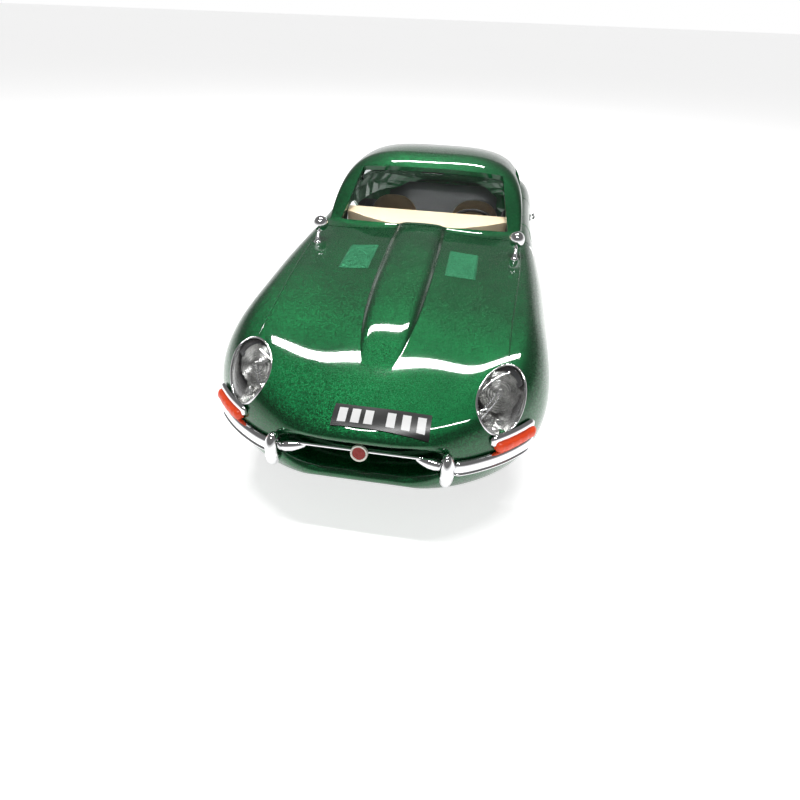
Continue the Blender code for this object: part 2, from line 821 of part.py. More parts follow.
def make_chassis():
    left = []
    for t in np.linspace(6.9, 17.6, 9):
        values = station(t)
        left.append((values[6] - drawn_x(WALL + FIT) - 14, values[0]))
    outline = left + [(-x, y) for x, y in reversed(left)]
    plan = plan_prism("chassis_plate", outline, -100, 900)
    under = [(y, CHASSIS_LOW + lift(y)) for y in (380, 3000, 3400, 3840)]
    over = [(y, z + CHASSIS_HIGH - CHASSIS_LOW) for y, z in reversed(under)]
    keep(plan, side_prism("chassis_profile", under + over, -900, 900))
    clear = TYRE_RADIUS + ARCH_GAP + 0.0004
    for axle in (FRONT_AXLE, REAR_AXLE):
        centre = place(0, axle, 0).y
        inner = place(HALF_TRACK, 0, 0).x - TYRE_WIDTH / 2 - 0.0058
        if axle == REAR_AXLE:
            inner = place(HALF_TRACK, 0, 0).x - TYRE_WIDTH / 2 - 0.0012
        left_space = box("space", (inner, centre - clear, -0.01), (0.2, centre + clear, 0.1))
        right_space = mirror_of(left_space, "space_right")
        cut(plan, left_space, right_space)
    pivot = place(0, *BONNET_PIVOT)
    for side in (-1, 1):
        arm = side_prism("arm", [
            (480, CHASSIS_LOW + 4), (480, CHASSIS_HIGH - 4), (335, 322), (290, 329), (262, 312),
            (262, 288), (290, 271), (335, 262),
        ], side * 252, side * 284)
        add(plan, arm)
    reach = place(300, 0, 0).x
    cut(plan, rod(
        "bore", (-reach, pivot.y, pivot.z), (reach, pivot.y, pivot.z),
        HINGE_PIN_RADIUS + RUNNING,
    ))
    bearing_top = TYRE_RADIUS + AXLE_RADIUS + 0.0014
    axle_y = place(0, REAR_AXLE, 0).y
    base = place(0, 0, CHASSIS_HIGH + lift(REAR_AXLE) - 6).z
    for side in (-1, 1):
        inner, outer = sorted((place(side * 470, 0, 0).x, place(side * 515, 0, 0).x))
        add(plan, box("bearing", (inner, axle_y - 0.0028, base), (outer, axle_y + 0.0028, bearing_top)))
    cut(plan, rod(
        "axle_bore", (-0.1, axle_y, TYRE_RADIUS), (0.1, axle_y, TYRE_RADIUS),
        AXLE_RADIUS + RUNNING,
    ))
    for name, y in (("chassis_screw_front", 1300), ("chassis_screw_rear", 2990)):
        low = place(0, y, CHASSIS_LOW + lift(y) - 20)
        cut(plan, rod("hole", low, low + Vector((0, 0, 0.01)), SCREW_RADIUS + FIT, 20))
        foot = place(0, y, CHASSIS_LOW + lift(y) + 2)
        screw = rod(name, foot, foot + Vector((0, 0, 0.0016)), SCREW_RADIUS, 20)
        half = SCREW_RADIUS * 0.8
        for wide, deep in ((half, 0.00025), (0.00025, half)):
            cut(screw, box(
                "slot", (foot.x - wide, foot.y - deep, foot.z - 0.001),
                (foot.x + wide, foot.y + deep, foot.z + 0.0006),
            ))
    return plan


def lift(y):
    """How far the underside rises towards the tail, in drawn millimetres."""
    return float(np.interp(y, [0, 3000, 3400, 3840], [0, 0, 22, 66]))


def make_front_gear():
    axle = place(HALF_TRACK, FRONT_AXLE, 0)
    pin_x = axle.x - TYRE_WIDTH / 2 - 0.0042
    base = place(0, 0, CHASSIS_HIGH).z + FIT
    low_top = base + 0.0015
    high_base = 2 * TYRE_RADIUS - low_top
    high_top = high_base + 0.0014
    half = pin_x + KINGPIN_BOSS
    depth = 0.0024
    member = box("front_crossmember", (-half, axle.y - depth, base), (half, axle.y + depth, low_top))
    add(member, box("upper", (-half, axle.y - depth, high_base), (half, axle.y + depth, high_top)))
    add(member, box(
        "middle", (-0.009, axle.y - depth * 0.9, low_top - 0.0005),
        (0.009, axle.y + depth * 0.9, high_base + 0.0005),
    ))
    rod_low = TYRE_RADIUS + 0.0008
    add(member, box(
        "guide", (-0.007, axle.y - STEERING_ARM - 0.0020, base),
        (0.007, axle.y - depth * 0.5, rod_low - FIT),
    ))
    for side in (-1, 1):
        start = Vector((side * pin_x, axle.y, low_top - 0.0005))
        end = Vector((side * pin_x, axle.y, high_base + 0.0005))
        add(member, rod("kingpin", start, end, KINGPIN_RADIUS, 20))
    bottom, top = low_top + FIT, high_base - FIT
    knuckle = rod(
        "knuckle_left", (pin_x, axle.y, bottom), (pin_x, axle.y, top), KINGPIN_BOSS, 24,
    )
    add(knuckle, rod(
        "stub", (pin_x + 0.0004, axle.y, TYRE_RADIUS),
        (axle.x + TYRE_WIDTH / 2 - 0.0022, axle.y, TYRE_RADIUS), AXLE_RADIUS, 20,
    ))
    arm_low, arm_high = TYRE_RADIUS - 0.0008, rod_low - FIT
    add(knuckle, box(
        "arm", (pin_x - 0.0012, axle.y - STEERING_ARM, arm_low),
        (pin_x + 0.0012, axle.y - KINGPIN_RADIUS - 0.0004, arm_high),
    ))
    add(knuckle, rod(
        "arm_end", (pin_x, axle.y - STEERING_ARM, arm_low),
        (pin_x, axle.y - STEERING_ARM, arm_high), 0.0012, 16,
    ))
    add(knuckle, rod(
        "arm_pin", (pin_x, axle.y - STEERING_ARM, arm_high - 0.0003),
        (pin_x, axle.y - STEERING_ARM, rod_low + 0.0020), TRACK_ROD_PIN, 12,
    ))
    cut(knuckle, rod(
        "bore", (pin_x, axle.y, bottom - 0.001), (pin_x, axle.y, top + 0.001),
        KINGPIN_RADIUS + RUNNING, 20,
    ))
    mirror_of(knuckle, "knuckle_right")
    reach, middle = pin_x + 0.0016, axle.y - STEERING_ARM
    track_rod = box("track_rod", (-reach, middle - 0.0016, rod_low), (reach, middle + 0.0016, rod_low + 0.0014))
    wide, long = TRACK_ROD_PIN + RUNNING, TRACK_ROD_PIN + 0.0004
    for side in (-1, 1):
        cut(track_rod, box(
            "slot", (side * pin_x - wide, middle - long, rod_low - 0.001),
            (side * pin_x + wide, middle + long, rod_low + 0.003),
        ))
    return member


def make_wheels():
    half = TYRE_WIDTH / 2
    inner = RIM_RADIUS + FIT
    tread = [
        (-half + 0.0004, inner), (-half, TYRE_RADIUS - 0.0034),
        (-half + 0.0008, TYRE_RADIUS - 0.0008), (-half + 0.0020, TYRE_RADIUS),
        (half - 0.0020, TYRE_RADIUS), (half - 0.0008, TYRE_RADIUS - 0.0008),
        (half, TYRE_RADIUS - 0.0034), (half - 0.0004, inner),
    ]
    bore = AXLE_RADIUS + RUNNING
    outline = [
        (-half + 0.0012, bore), (-half + 0.0012, 0.0026), (-half + 0.0052, 0.0030),
        (-half + 0.0052, RIM_RADIUS - 0.0014), (-half + 0.0002, RIM_RADIUS - 0.0010),
        (-half + 0.0002, RIM_RADIUS), (half - 0.0002, RIM_RADIUS), (half - 0.0002, RIM_RADIUS - 0.0009),
        (half - 0.0020, RIM_RADIUS - 0.0020), (half - 0.0022, 0.0028), (half - 0.0006, 0.0018),
        (half - 0.0006, bore),
    ]
    for end, y in (("front", FRONT_AXLE), ("rear", REAR_AXLE)):
        centre = place(HALF_TRACK, y, 0)
        centre.z = TYRE_RADIUS
        tyre = ring_solid(f"tyre_{end}_left", centre, (1, 0, 0), tread, 24)
        rim = ring_solid(f"rim_{end}_left", centre, (1, 0, 0), outline, 20)
        mirror_of(tyre, f"tyre_{end}_right")
        mirror_of(rim, f"rim_{end}_right")
    reach = centre.x + half - 0.0022
    rod("rear_axle", (-reach, centre.y, centre.z), (reach, centre.y, centre.z), AXLE_RADIUS, 20)


# ---------------------------------------------------------------- cabin
def make_cabin():
    top = SCUTTLE_LOW - drawn_z(WALL)
    tub = side_prism("interior_tub", [
        (2004, top), (2004, 268), (2940, 268), (2940, 652), (4070, 652),
        (4070, 634), (2958, 634), (2958, 251), (1986, 251), (1986, top),
    ], -620, 620)
    wheel_front = REAR_AXLE - drawn_y(TYRE_RADIUS + ARCH_GAP)
    wheel_inner = HALF_TRACK - drawn_x(TYRE_WIDTH / 2 + TUB_TO_TYRE)
    for side in (-1, 1):
        cut(tub, plan_prism("side_cut", [
            (side * (wheel_inner + 30), wheel_front), (side * 700, wheel_front),
            (side * 700, 4200), (side * 330, 4200),
            (side * wheel_inner, 3700), (side * wheel_inner, wheel_front + 105),
        ], 200, 1000))
    tunnel = side_prism("tunnel", [(2000, 250), (2960, 250), (2960, 420), (2000, 470)], -105, 105)
    add(tub, tunnel)
    front = [(x, 2016 + 178 * (x / 570) ** 2) for x in np.linspace(-560, 560, 9)]
    dash = plan_prism("dashboard", front + [(560, 2262), (-560, 2262)], 738, 900)
    cut(dash, side_prism("dash_slope", [(1900, 828), (2300, 895), (2300, 1000), (1900, 1000)], -700, 700))
    cut(dash, front_prism("knee_cut", [(-110, 700), (110, 700), (90, 752), (-90, 752)], 2150, 2400))
    profile = [
        (2380, 282), (2850, 282), (2985 - 60, 800), (2925, 838), (2885, 846), (2860, 820),
        (2790, 470), (2760, 408), (2400, 412), (2372, 380),
    ]
    seat = side_prism("seat_left", profile, 130, 520)
    front_view = [(130, 200), (520, 200), (520, 600)]
    front_view += [
        (325 + 195 * math.cos(a), 600 + 246 * math.sin(a)) for a in np.linspace(0.15, math.pi - 0.15, 10)
    ]
    front_view += [(130, 600)]
    keep(seat, front_prism("seat_front", front_view, 2200, 3200))
    mirror_of(seat, "seat_right")
    return tub


def make_steering():
    hub = place(325, 2372, 742)
    axis = Vector((0, 0.93, 0.36)).normalized()
    ring_radius, tube = 0.0098, 0.0005
    circle = [
        (tube * math.cos(a), ring_radius + tube * math.sin(a))
        for a in np.arange(6) * math.tau / 6
    ]
    wheel = ring_solid("steering_wheel", hub, axis, circle, 24)
    boss = turned("boss", hub - axis * 0.0006, axis, [(0, 0.0013), (0.0012, 0.0016)], 12)
    across = Vector((1, 0, 0))
    down = axis.cross(across)
    for angle in (0, math.pi, -math.pi / 2):
        spoke = across * math.cos(angle) - down * math.sin(angle)
        side = axis.cross(spoke) * 0.0006
        low = hub + spoke * 0.0008 - axis * 0.0002
        outline = [low - side * 1.6, low + side * 1.6, low + spoke * 0.0089 + side, low + spoke * 0.0089 - side]
        add(boss, prism("spoke", outline, axis * 0.0004))
    add(wheel, boss)
    start = hub - axis * (0.0006 + FIT)
    rod("steering_column", start, start - axis * 0.0165, 0.0009, 14)


def make_engine():
    block = side_prism("engine_block", [
        (950, 300), (1730, 300), (1760, 360), (1760, 700), (950, 700), (930, 660), (930, 340),
    ], -140, 140)
    add(block, side_prism("sump", [(1000, 262), (1500, 262), (1560, 320), (960, 320)], -90, 90))
    rib = [(40, 700 + 6), (128, 700 + 6), (132, 738), (112, 766), (84, 774), (56, 766), (36, 738)]
    cover = front_prism("cam_cover_left", rib, 944, 1744)
    cover.data.transform(Matrix.Translation((0, 0, FIT * 0.4)))
    mirror_of(cover, "cam_cover_right")
    manifold = side_prism("carburettors", [(1010, 560), (1680, 560), (1680, 600), (1010, 600)], -146 - 60, -146)
    for y in (1090, 1345, 1600):
        add(manifold, turned("body", place(-230, y, 520), (0, 0, 1), [
            (0, 0.0022), (0.0058, 0.0022), (0.0060, 0.0017), (0.0090, 0.0015),
        ], 12))
    core = front_prism("radiator", rounded([(-262, 268), (262, 268), (262, 640), (-262, 640)], 30), 486, 522)
    add(core, front_prism("tank", [(-240, 610), (240, 610), (240, 655), (-240, 655)], 478, 530))
    return block


def make_small_parts():
    pivot = place(0, *BONNET_PIVOT)
    reach = place(334, 0, 0).x
    rod("bonnet_hinge_pin", (-reach, pivot.y, pivot.z), (reach, pivot.y, pivot.z), HINGE_PIN_RADIUS)
    pipe = rod("exhaust_pipes", place(62, 3980, 322), place(62, 4388, 340), 0.0013, 16)
    other = rod("other_pipe", place(-62, 3980, 322), place(-62, 4388, 340), 0.0013, 16)
    low, high = place(-62, 4050, 312), place(62, 4110, 338)
    add(pipe, other)
    add(pipe, box("clamp", low, high))
    head_low, head_high = place(-82, 2500, 1088), place(82, 2516, 1128)
    glass = box("rear_view_mirror", head_low, head_high)
    stem = place(0, 2508, 1120)
    add(glass, rod("stem", stem, place(0, 2500, 1158), 0.0004, 8))


def main():
    for existing in list(bpy.data.objects):
        bpy.data.objects.remove(existing)
    shell = make_shell()
    make_bonnet(shell)
    make_body(shell)
    make_doors(shell)
    bpy.data.objects.remove(shell)
    make_glass()
    make_lamps()
    make_trim()
    make_mirror()
    make_chassis()
    make_front_gear()
    make_wheels()
    make_cabin()
    make_steering()
    make_engine()
    make_small_parts()


main()
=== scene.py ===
"""The looks of a 1:18 diecast coupe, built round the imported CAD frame.

The body is drawn in the full-size car's millimetres, as in the CAD: x to the car's left, y
back from the nose, z up from the road. place() brings a drawn point to the model in metres.
"""

import json
import math

import bpy
import numpy as np
from mathutils import Matrix, Vector
from mathutils.bvhtree import BVHTree
from mathutils.interpolate import poly_3d_calc


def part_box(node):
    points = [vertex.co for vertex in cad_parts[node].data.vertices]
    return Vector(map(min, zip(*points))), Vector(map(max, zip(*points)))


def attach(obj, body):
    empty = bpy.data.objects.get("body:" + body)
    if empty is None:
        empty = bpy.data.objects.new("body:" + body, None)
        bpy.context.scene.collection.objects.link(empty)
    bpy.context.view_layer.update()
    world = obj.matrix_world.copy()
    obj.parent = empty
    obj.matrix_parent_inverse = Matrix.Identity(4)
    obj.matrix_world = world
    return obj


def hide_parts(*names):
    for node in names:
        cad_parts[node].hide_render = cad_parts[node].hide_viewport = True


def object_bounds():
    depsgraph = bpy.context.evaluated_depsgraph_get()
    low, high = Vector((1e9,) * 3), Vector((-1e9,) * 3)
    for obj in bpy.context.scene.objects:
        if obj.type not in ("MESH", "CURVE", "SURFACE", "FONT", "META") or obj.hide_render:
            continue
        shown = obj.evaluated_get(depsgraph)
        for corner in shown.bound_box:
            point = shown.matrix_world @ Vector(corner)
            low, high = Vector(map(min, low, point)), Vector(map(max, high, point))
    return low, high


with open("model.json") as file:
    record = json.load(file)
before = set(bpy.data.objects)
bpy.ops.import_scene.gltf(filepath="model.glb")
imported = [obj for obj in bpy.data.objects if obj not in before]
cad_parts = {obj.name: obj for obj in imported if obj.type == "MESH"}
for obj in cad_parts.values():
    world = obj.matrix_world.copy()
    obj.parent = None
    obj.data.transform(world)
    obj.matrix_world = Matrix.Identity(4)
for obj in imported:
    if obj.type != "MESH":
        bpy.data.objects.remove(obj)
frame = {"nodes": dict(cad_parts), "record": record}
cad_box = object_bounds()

SIZE = cad_box[1] - cad_box[0]
DRAWN = Vector((1657.0, 4453.0, 1219.0))
SCALE = Vector((SIZE.x / DRAWN.x, SIZE.y / DRAWN.y, SIZE.z / DRAWN.z))
NOSE_TIP = -45.0
TAIL_TIP = NOSE_TIP + DRAWN.y
MIDDLE = NOSE_TIP + DRAWN.y / 2
WALL = 0.0013
GLASS = 0.0008
FIT = 0.0003
SHUT_GAP = 0.0005
TYRE_RADIUS = 0.0185
ARCH_GAP = 0.0023
REAR_ARCH_DROP = 0.0040
RIM_RADIUS = 0.0110
SPOKES = 24
PLEATS = 7
SLATS = 15
SKY_ABOVE = 0.16         # grey of the sky over the car; it is white at the horizon
BONNET_SHUT_TOP = 1905.0
BONNET_SHUT_SIDE = 1800.0
BULGE_TIP = 395.0
SCREEN_FOOT = (1946.0, 878.0)
SCREEN_RISE = 0.592
SCREEN_SWEEP = 126.0

# y, top, wing crest x and z, widest x and z, lower edge x and z, valley, sweep at x = 400
STATIONS = np.array([
    (150, 545, 160, 542, 335, 482, 160, 425, 0, 50),
    (55, 553, 180, 550, 368, 482, 180, 405, 0, 55),
    (15, 572, 190, 566, 392, 482, 190, 388, 0, 60),
    (5, 590, 210, 584, 425, 480, 215, 366, 0, 62),
    (22, 612, 284, 602, 502, 478, 270, 335, 0, 60),
    (78, 640, 410, 640, 602, 480, 375, 300, 4, 50),
    (190, 672, 532, 690, 710, 490, 508, 265, 8, 38),
    (370, 712, 628, 744, 792, 503, 614, 238, 12, 24),
    (650, 768, 665, 796, 826, 515, 690, 222, 16, 10),
    (1000, 815, 668, 824, 827, 522, 706, 214, 18, 0),
    (1380, 846, 672, 838, 828.5, 525, 712, 210, 18, 0),
    (1750, 866, 672, 846, 817, 527, 714, 208, 12, 0),
    (2100, 875, 670, 852, 802, 528, 712, 208, 4, 0),
    (2500, 880, 672, 858, 799, 532, 710, 208, 0, 0),
    (2900, 880, 680, 868, 808, 540, 708, 212, 0, 0),
    (3250, 880, 680, 878, 817, 552, 704, 225, 0, 0),
    (3600, 862, 652, 862, 800, 562, 672, 250, 0, -10),
    (3900, 820, 596, 820, 748, 568, 610, 285, 0, -25),
    (4120, 765, 520, 765, 672, 570, 530, 322, 0, -36),
    (4270, 710, 425, 710, 572, 562, 430, 362, 0, -45),
    (4350, 660, 330, 660, 470, 552, 330, 398, 0, -50),
    (4385, 615, 240, 615, 370, 540, 240, 432, 0, -50),
])
LAST_STATION = len(STATIONS) - 1
ROOF_LINE = np.array([
    (1900, 1150), (2200, 1185), (2450, 1208), (2720, 1219), (2960, 1206), (3220, 1163),
    (3500, 1085), (3800, 965), (4050, 842), (4250, 725), (4400, 600),
])
ROOF_HALF = np.array([
    (1900, 655), (2300, 662), (2800, 660), (3100, 640), (3400, 595), (3700, 530),
    (4000, 440), (4300, 330), (4400, 290),
])
FRONT_AXLE, REAR_AXLE, HALF_TRACK = 810.0, 3248.0, 635.0
BELT = 885.0


def place(x, y, z):
    """A drawn point on the model, in metres."""
    return Vector((x * SCALE.x, (y - MIDDLE) * SCALE.y, z * SCALE.z))


# ---------------------------------------------------------------- the body's surface
def spline(position, value):
    """A natural cubic through values, as a function of position."""
    count = len(position)
    step = np.diff(position)
    matrix = np.eye(count)
    target = np.zeros(value.shape)
    for i in range(1, count - 1):
        matrix[i, i - 1:i + 2] = step[i - 1], 2 * (step[i - 1] + step[i]), step[i]
        target[i] = 6 * (
            (value[i + 1] - value[i]) / step[i] - (value[i] - value[i - 1]) / step[i - 1]
        )
    bend = np.linalg.solve(matrix, target)

    def at(where):
        i = np.clip(np.searchsorted(position, where) - 1, 0, count - 2)
        past, left = where - position[i], position[i + 1] - where
        return (
            (bend[i] * left**3 + bend[i + 1] * past**3) / (6 * step[i])
            + (value[i] / step[i] - bend[i] * step[i] / 6) * left
            + (value[i + 1] / step[i] - bend[i + 1] * step[i] / 6) * past
        )

    return at


station = spline(np.arange(len(STATIONS), dtype=float), STATIONS)
roof_top = spline(ROOF_LINE[:, 0], ROOF_LINE[:, 1])
roof_half = spline(ROOF_HALF[:, 0], ROOF_HALF[:, 1])


def smooth(u):
    """An even rise from 0 to 1."""
    u = np.clip(u, 0, 1)
    return u * u * (3 - 2 * u)


def blend_up(a, b, width):
    """The higher of two heights, rounded where they meet."""
    share = np.clip(0.5 + 0.5 * (a - b) / width, 0, 1)
    return b + (a - b) * share + width * share * (1 - share)


def blend_down(a, b, width):
    return -blend_up(-a, -b, width)


def bulge_half(y):
    """Half the width of the long raised panel down the middle of the bonnet."""
    return 70.0 + 92.0 * (1 - np.exp(-np.clip(y - BULGE_TIP, 0, None) / 300.0))


def bulge(x, y):
    """Height of that panel: a flat top with steep sides."""
    across = np.clip(np.abs(x) / bulge_half(y), 0, 1)
    rise = 30.0 * smooth((y - BULGE_TIP) / 520.0) ** 0.8
    return rise * (1 - 0.15 * across**2) * (1 - across**9)


def cabin(x, y):
    """Height of the screen, the roof and the sloping tail."""
    within = np.clip(y, ROOF_LINE[0, 0], ROOF_LINE[-1, 0])
    half = roof_half(within)
    top = roof_top(within)
    foot = blend_down(845.0, top - 120, 60)
    across = np.abs(x) / half
    round_top = (1 - np.clip(across, 0, 1) ** 3.3) ** (1 / 3.3)
    roof = foot + (top - foot) * round_top - 4000 * np.clip(across - 1, 0, None)
    screen_y = SCREEN_FOOT[0] + SCREEN_SWEEP * (x / 600) ** 2
    screen = SCREEN_FOOT[1] + SCREEN_RISE * (y - screen_y)
    return blend_down(roof, screen, 50.0)


# points over the top, down to the widest place and under it, then how the top ones crowd at
# the bulge's edge: shares of the points against widths as shares of the bulge's own
FINE_ROUND = (64, 14, 10, (0, 0.22, 0.25, 0.375, 0.4, 1), (0, 0.7, 0.84, 1.0, 1.06))
COARSE_ROUND = (9, 3, 2, (0, 0.25, 0.375, 1), (0, 0.86, 1.0))


def half_section(t, around):
    """Drawn points from the centre line over the wing and down to the lower edge."""
    top_count, side_count, lower_count, shares, widths = around
    (y_start, top, crest_x, crest_z, wide_x, wide_z,
     low_x, low_z, valley, sweep) = station(t)
    across = np.linspace(0, 1, 361)
    x = across * crest_x
    y = y_start + sweep * (x / 400) ** 2
    bonnet_top = crest_z + (top - crest_z) * (1 - smooth(across))
    bonnet_top = bonnet_top - valley * np.sin(np.pi * across) ** 2 * smooth(across * 1.3)
    bonnet_top = bonnet_top + np.where(y < 1960, bulge(x, y), 0)
    over = blend_up(bonnet_top, cabin(x, y), 22.0)
    z = np.where(y > 1900, over, bonnet_top)
    run = np.concatenate([[0], np.cumsum(np.hypot(np.diff(x), np.diff(z)))])
    share = np.linspace(0, 1, top_count)
    half = float(bulge_half(y_start))
    on_bonnet = np.interp(share, shares, [*(width * half for width in widths), crest_x])
    on_cabin = np.interp(share * run[-1], run, x)
    top_x = on_bonnet + (on_cabin - on_bonnet) * smooth((y_start - 1880) / 120)
    side = np.linspace(0, np.pi / 2, side_count + 1)[1:]
    lower = np.linspace(0, np.pi / 2, lower_count + 1)[1:]
    all_x = np.concatenate([
        top_x,
        crest_x + (wide_x - crest_x) * np.sin(side),
        low_x + (wide_x - low_x) * np.cos(lower),
    ])
    all_z = np.concatenate([
        np.interp(top_x, x, z),
        wide_z + (crest_z - wide_z) * np.cos(side),
        wide_z - (wide_z - low_z) * np.sin(lower),
    ])
    return np.stack([all_x, y_start + sweep * (all_x / 400) ** 2, all_z], 1)


def flank(t, z):
    """The drawn point on the car's left flank at a height."""
    (y_start, _, crest_x, crest_z, wide_x, wide_z, low_x, low_z, _, sweep) = station(t)
    if z >= wide_z:
        reach = math.sqrt(max(0.0, 1 - ((z - wide_z) / (crest_z - wide_z)) ** 2))
        x = crest_x + (wide_x - crest_x) * reach
    else:
        reach = math.sqrt(max(0.0, 1 - ((wide_z - z) / (wide_z - low_z)) ** 2))
        x = low_x + (wide_x - low_x) * reach
    return x, y_start + sweep * (x / 400) ** 2


# from and to a station, and the step between sections
FINE = ((0, 6, 0.1), (6, 11.5, 0.1), (11.5, 13.3, 0.03), (13.3, 15, 0.06), (15, 21, 0.1))
COARSE = ((0, 11.5, 0.5), (11.5, 13.9, 0.14), (14.1, 21, 0.6))


def body_grid(first, steps, around):
    """The skin as rows of points in metres, one row for each section."""
    places = [first, LAST_STATION]
    for low, high, step in steps:
        places.extend(np.arange(low, high, step))
    rows = sorted({round(float(t), 3) for t in places if first <= t <= LAST_STATION})
    grid = []
    for t in rows:
        half = half_section(t, around)
        both = np.concatenate([half[:0:-1] * (-1, 1, 1), half])
        grid.append((both - (0, MIDDLE, 0)) * tuple(SCALE))
    return np.array(grid)


def inner_grid():
    """The coarse inner face of the casting, a wall's thickness in from the skin."""
    grid = body_grid(6.0, COARSE, COARSE_ROUND)
    normal = np.cross(np.gradient(grid, axis=1), np.gradient(grid, axis=0))
    normal /= np.linalg.norm(normal, axis=2, keepdims=True)
    grid = grid - normal * WALL
    grid[-1, :, 1] -= WALL
    drop = np.zeros_like(grid[:, :1])
    drop[..., 2] = -0.006
    return np.concatenate([grid[:, :1] + drop, grid, grid[:, -1:] + drop], axis=1)


# ---------------------------------------------------------------- meshes
def linked(name, data):
    """A new object in the scene."""
    made = bpy.data.objects.new(name, data)
    bpy.context.scene.collection.objects.link(made)
    return made


def new_object(name, points, faces):
    """A mesh whose faces look outward."""
    mesh = bpy.data.meshes.new(name)
    mesh.from_pydata([tuple(point) for point in points], [], faces)
    mesh.validate()
    volume = sum(
        mesh.vertices[p.vertices[0]].co.dot(
            mesh.vertices[p.vertices[k]].co.cross(mesh.vertices[p.vertices[k + 1]].co)
        )
        for p in mesh.polygons for k in range(1, len(p.vertices) - 1)
    )
    if volume < 0:
        mesh.flip_normals()
    return linked(name, mesh)


def loft(name, grid):
    """A skin through rows of closed rings, with a fan over each end."""
    rows, count = len(grid), len(grid[0])
    points = [point for ring in grid for point in ring]
    faces = [
        (r * count + i, r * count + (i + 1) % count,
         (r + 1) * count + (i + 1) % count, (r + 1) * count + i)
        for r in range(rows - 1) for i in range(count)
    ]
    for row in (0, rows - 1):
        middle = len(points)
        points.append(np.mean(np.array(grid[row]), axis=0))
        for i in range(count):
            edge = [row * count + i, row * count + (i + 1) % count]
            faces.append((middle, *(edge if row else edge[::-1])))
    return new_object(name, points, faces)


def slab(name, outer, inner):
    """A closed solid between two grids of points of the same size."""
    rows, count = len(outer), len(outer[0])
    points = [p for row in outer for p in row] + [p for row in inner for p in row]
    under = rows * count
    faces = []
    for r in range(rows - 1):
        for i in range(count - 1):
            a = r * count + i
            faces.append((a, a + 1, a + count + 1, a + count))
            faces.append((under + a, under + a + count, under + a + count + 1, under + a + 1))
    rim = list(range(count))
    rim += [r * count + count - 1 for r in range(1, rows)]
    rim += [(rows - 1) * count + i for i in range(count - 2, -1, -1)]
    rim += [r * count for r in range(rows - 2, 0, -1)]
    for a, b in zip(rim, rim[1:] + rim[:1]):
        faces.append((b, a, under + a, under + b))
    return new_object(name, points, faces)


def prism(name, outline, sweep):
    """An outline moved along a straight line."""
    count = len(outline)
    points = [Vector(point) for point in outline]
    points += [point + Vector(sweep) for point in points]
    faces = [tuple(range(count)), tuple(range(2 * count - 1, count - 1, -1))]
    for i in range(count):
        after = (i + 1) % count
        faces.append((i, i + count, after + count, after))
    return new_object(name, points, faces)


def block(name, low, high):
    base = [
        (low[0], low[1], low[2]), (high[0], low[1], low[2]),
        (high[0], high[1], low[2]), (low[0], high[1], low[2]),
    ]
    return prism(name, base, (0, 0, high[2] - low[2]))


def side_prism(name, outline, x_low, x_high):
    return prism(
        name, [place(x_low, y, z) for y, z in outline],
        place(x_high, 0, 0) - place(x_low, 0, 0),
    )


def plan_prism(name, outline, z_low, z_high):
    return prism(
        name, [place(x, y, z_low) for x, y in outline],
        place(0, 0, z_high) - place(0, 0, z_low),
    )


def spokes_of(axis):
    """Two directions square to an axis and to each other."""
    up = Vector((0, 0, 1)) if abs(axis.z) < 0.9 else Vector((0, 1, 0))
    across = axis.cross(up).normalized()
    return across, axis.cross(across)


def turned(name, start, axis, profile, sides=48, ring=False):
    """A solid turned round an axis from (along, radius), a closed outline if ring."""
    axis = Vector(axis).normalized()
    across, other = spokes_of(axis)
    grid = []
    for i in range(sides):
        angle = math.tau * i / sides
        spoke = across * math.cos(angle) + other * math.sin(angle)
        grid.append([Vector(start) + axis * u + spoke * r for u, r in profile])
    if ring:
        return torus_like(name, grid)
    return loft(name, [[column[k] for column in grid] for k in range(len(profile))])


def torus_like(name, grid):
    """Closed both ways: round the axis and round each outline."""
    rows, count = len(grid), len(grid[0])
    points = [point for ring in grid for point in ring]
    faces = [
        (r * count + i, r * count + (i + 1) % count,
         (r + 1) % rows * count + (i + 1) % count, (r + 1) % rows * count + i)
        for r in range(rows) for i in range(count)
    ]
    return new_object(name, points, faces)


def rod(name, start, end, radius, sides=24):
    start, end = Vector(start), Vector(end)
    return turned(name, start, end - start, [(0, radius), ((end - start).length, radius)], sides)


def tube(name, path, radius, sides=10, closed=False):
    """A round bead along points; radius is a number or one for each point."""
    path = [Vector(p) for p in path]
    count = len(path)
    grid = []
    for i, here in enumerate(path):
        before = path[i - 1] if closed or i else here
        after = path[(i + 1) % count] if closed or i < count - 1 else here
        axis = (after - before).normalized()
        across, other = spokes_of(axis)
        size = radius[i] if hasattr(radius, "__len__") else radius
        grid.append([
            here + (across * math.cos(a) + other * math.sin(a)) * size
            for a in np.arange(sides) * math.tau / sides
        ])
    return torus_like(name, grid) if closed else loft(name, grid)


def joined(name, parts):
    """Several meshes as one object."""
    points, faces = [], []
    for part in parts:
        base = len(points)
        points += [v.co.copy() for v in part.data.vertices]
        faces += [tuple(base + i for i in p.vertices) for p in part.data.polygons]
        bpy.data.objects.remove(part)
    mesh = bpy.data.meshes.new(name)
    mesh.from_pydata([tuple(p) for p in points], [], faces)
    return linked(name, mesh)


def combine(target, operation, *tools):
    """Cut or keep with each tool in turn, and use it up."""
    for tool in tools:
        modifier = target.modifiers.new("shape", "BOOLEAN")
        modifier.operation = operation
        modifier.solver = "MANIFOLD"
        modifier.object = tool
        bpy.context.view_layer.update()
        shaped = target.evaluated_get(bpy.context.evaluated_depsgraph_get())
        result = bpy.data.meshes.new_from_object(shaped)
        target.modifiers.clear()
        target.data = result
        bpy.data.objects.remove(tool)
    return target


def copy_of(source, name):
    return linked(name, source.data.copy())


def mirror_of(source, name):
    made = copy_of(source, name)
    made.data.transform(Matrix.Diagonal((-1, 1, 1, 1)))
    made.data.flip_normals()
    return made


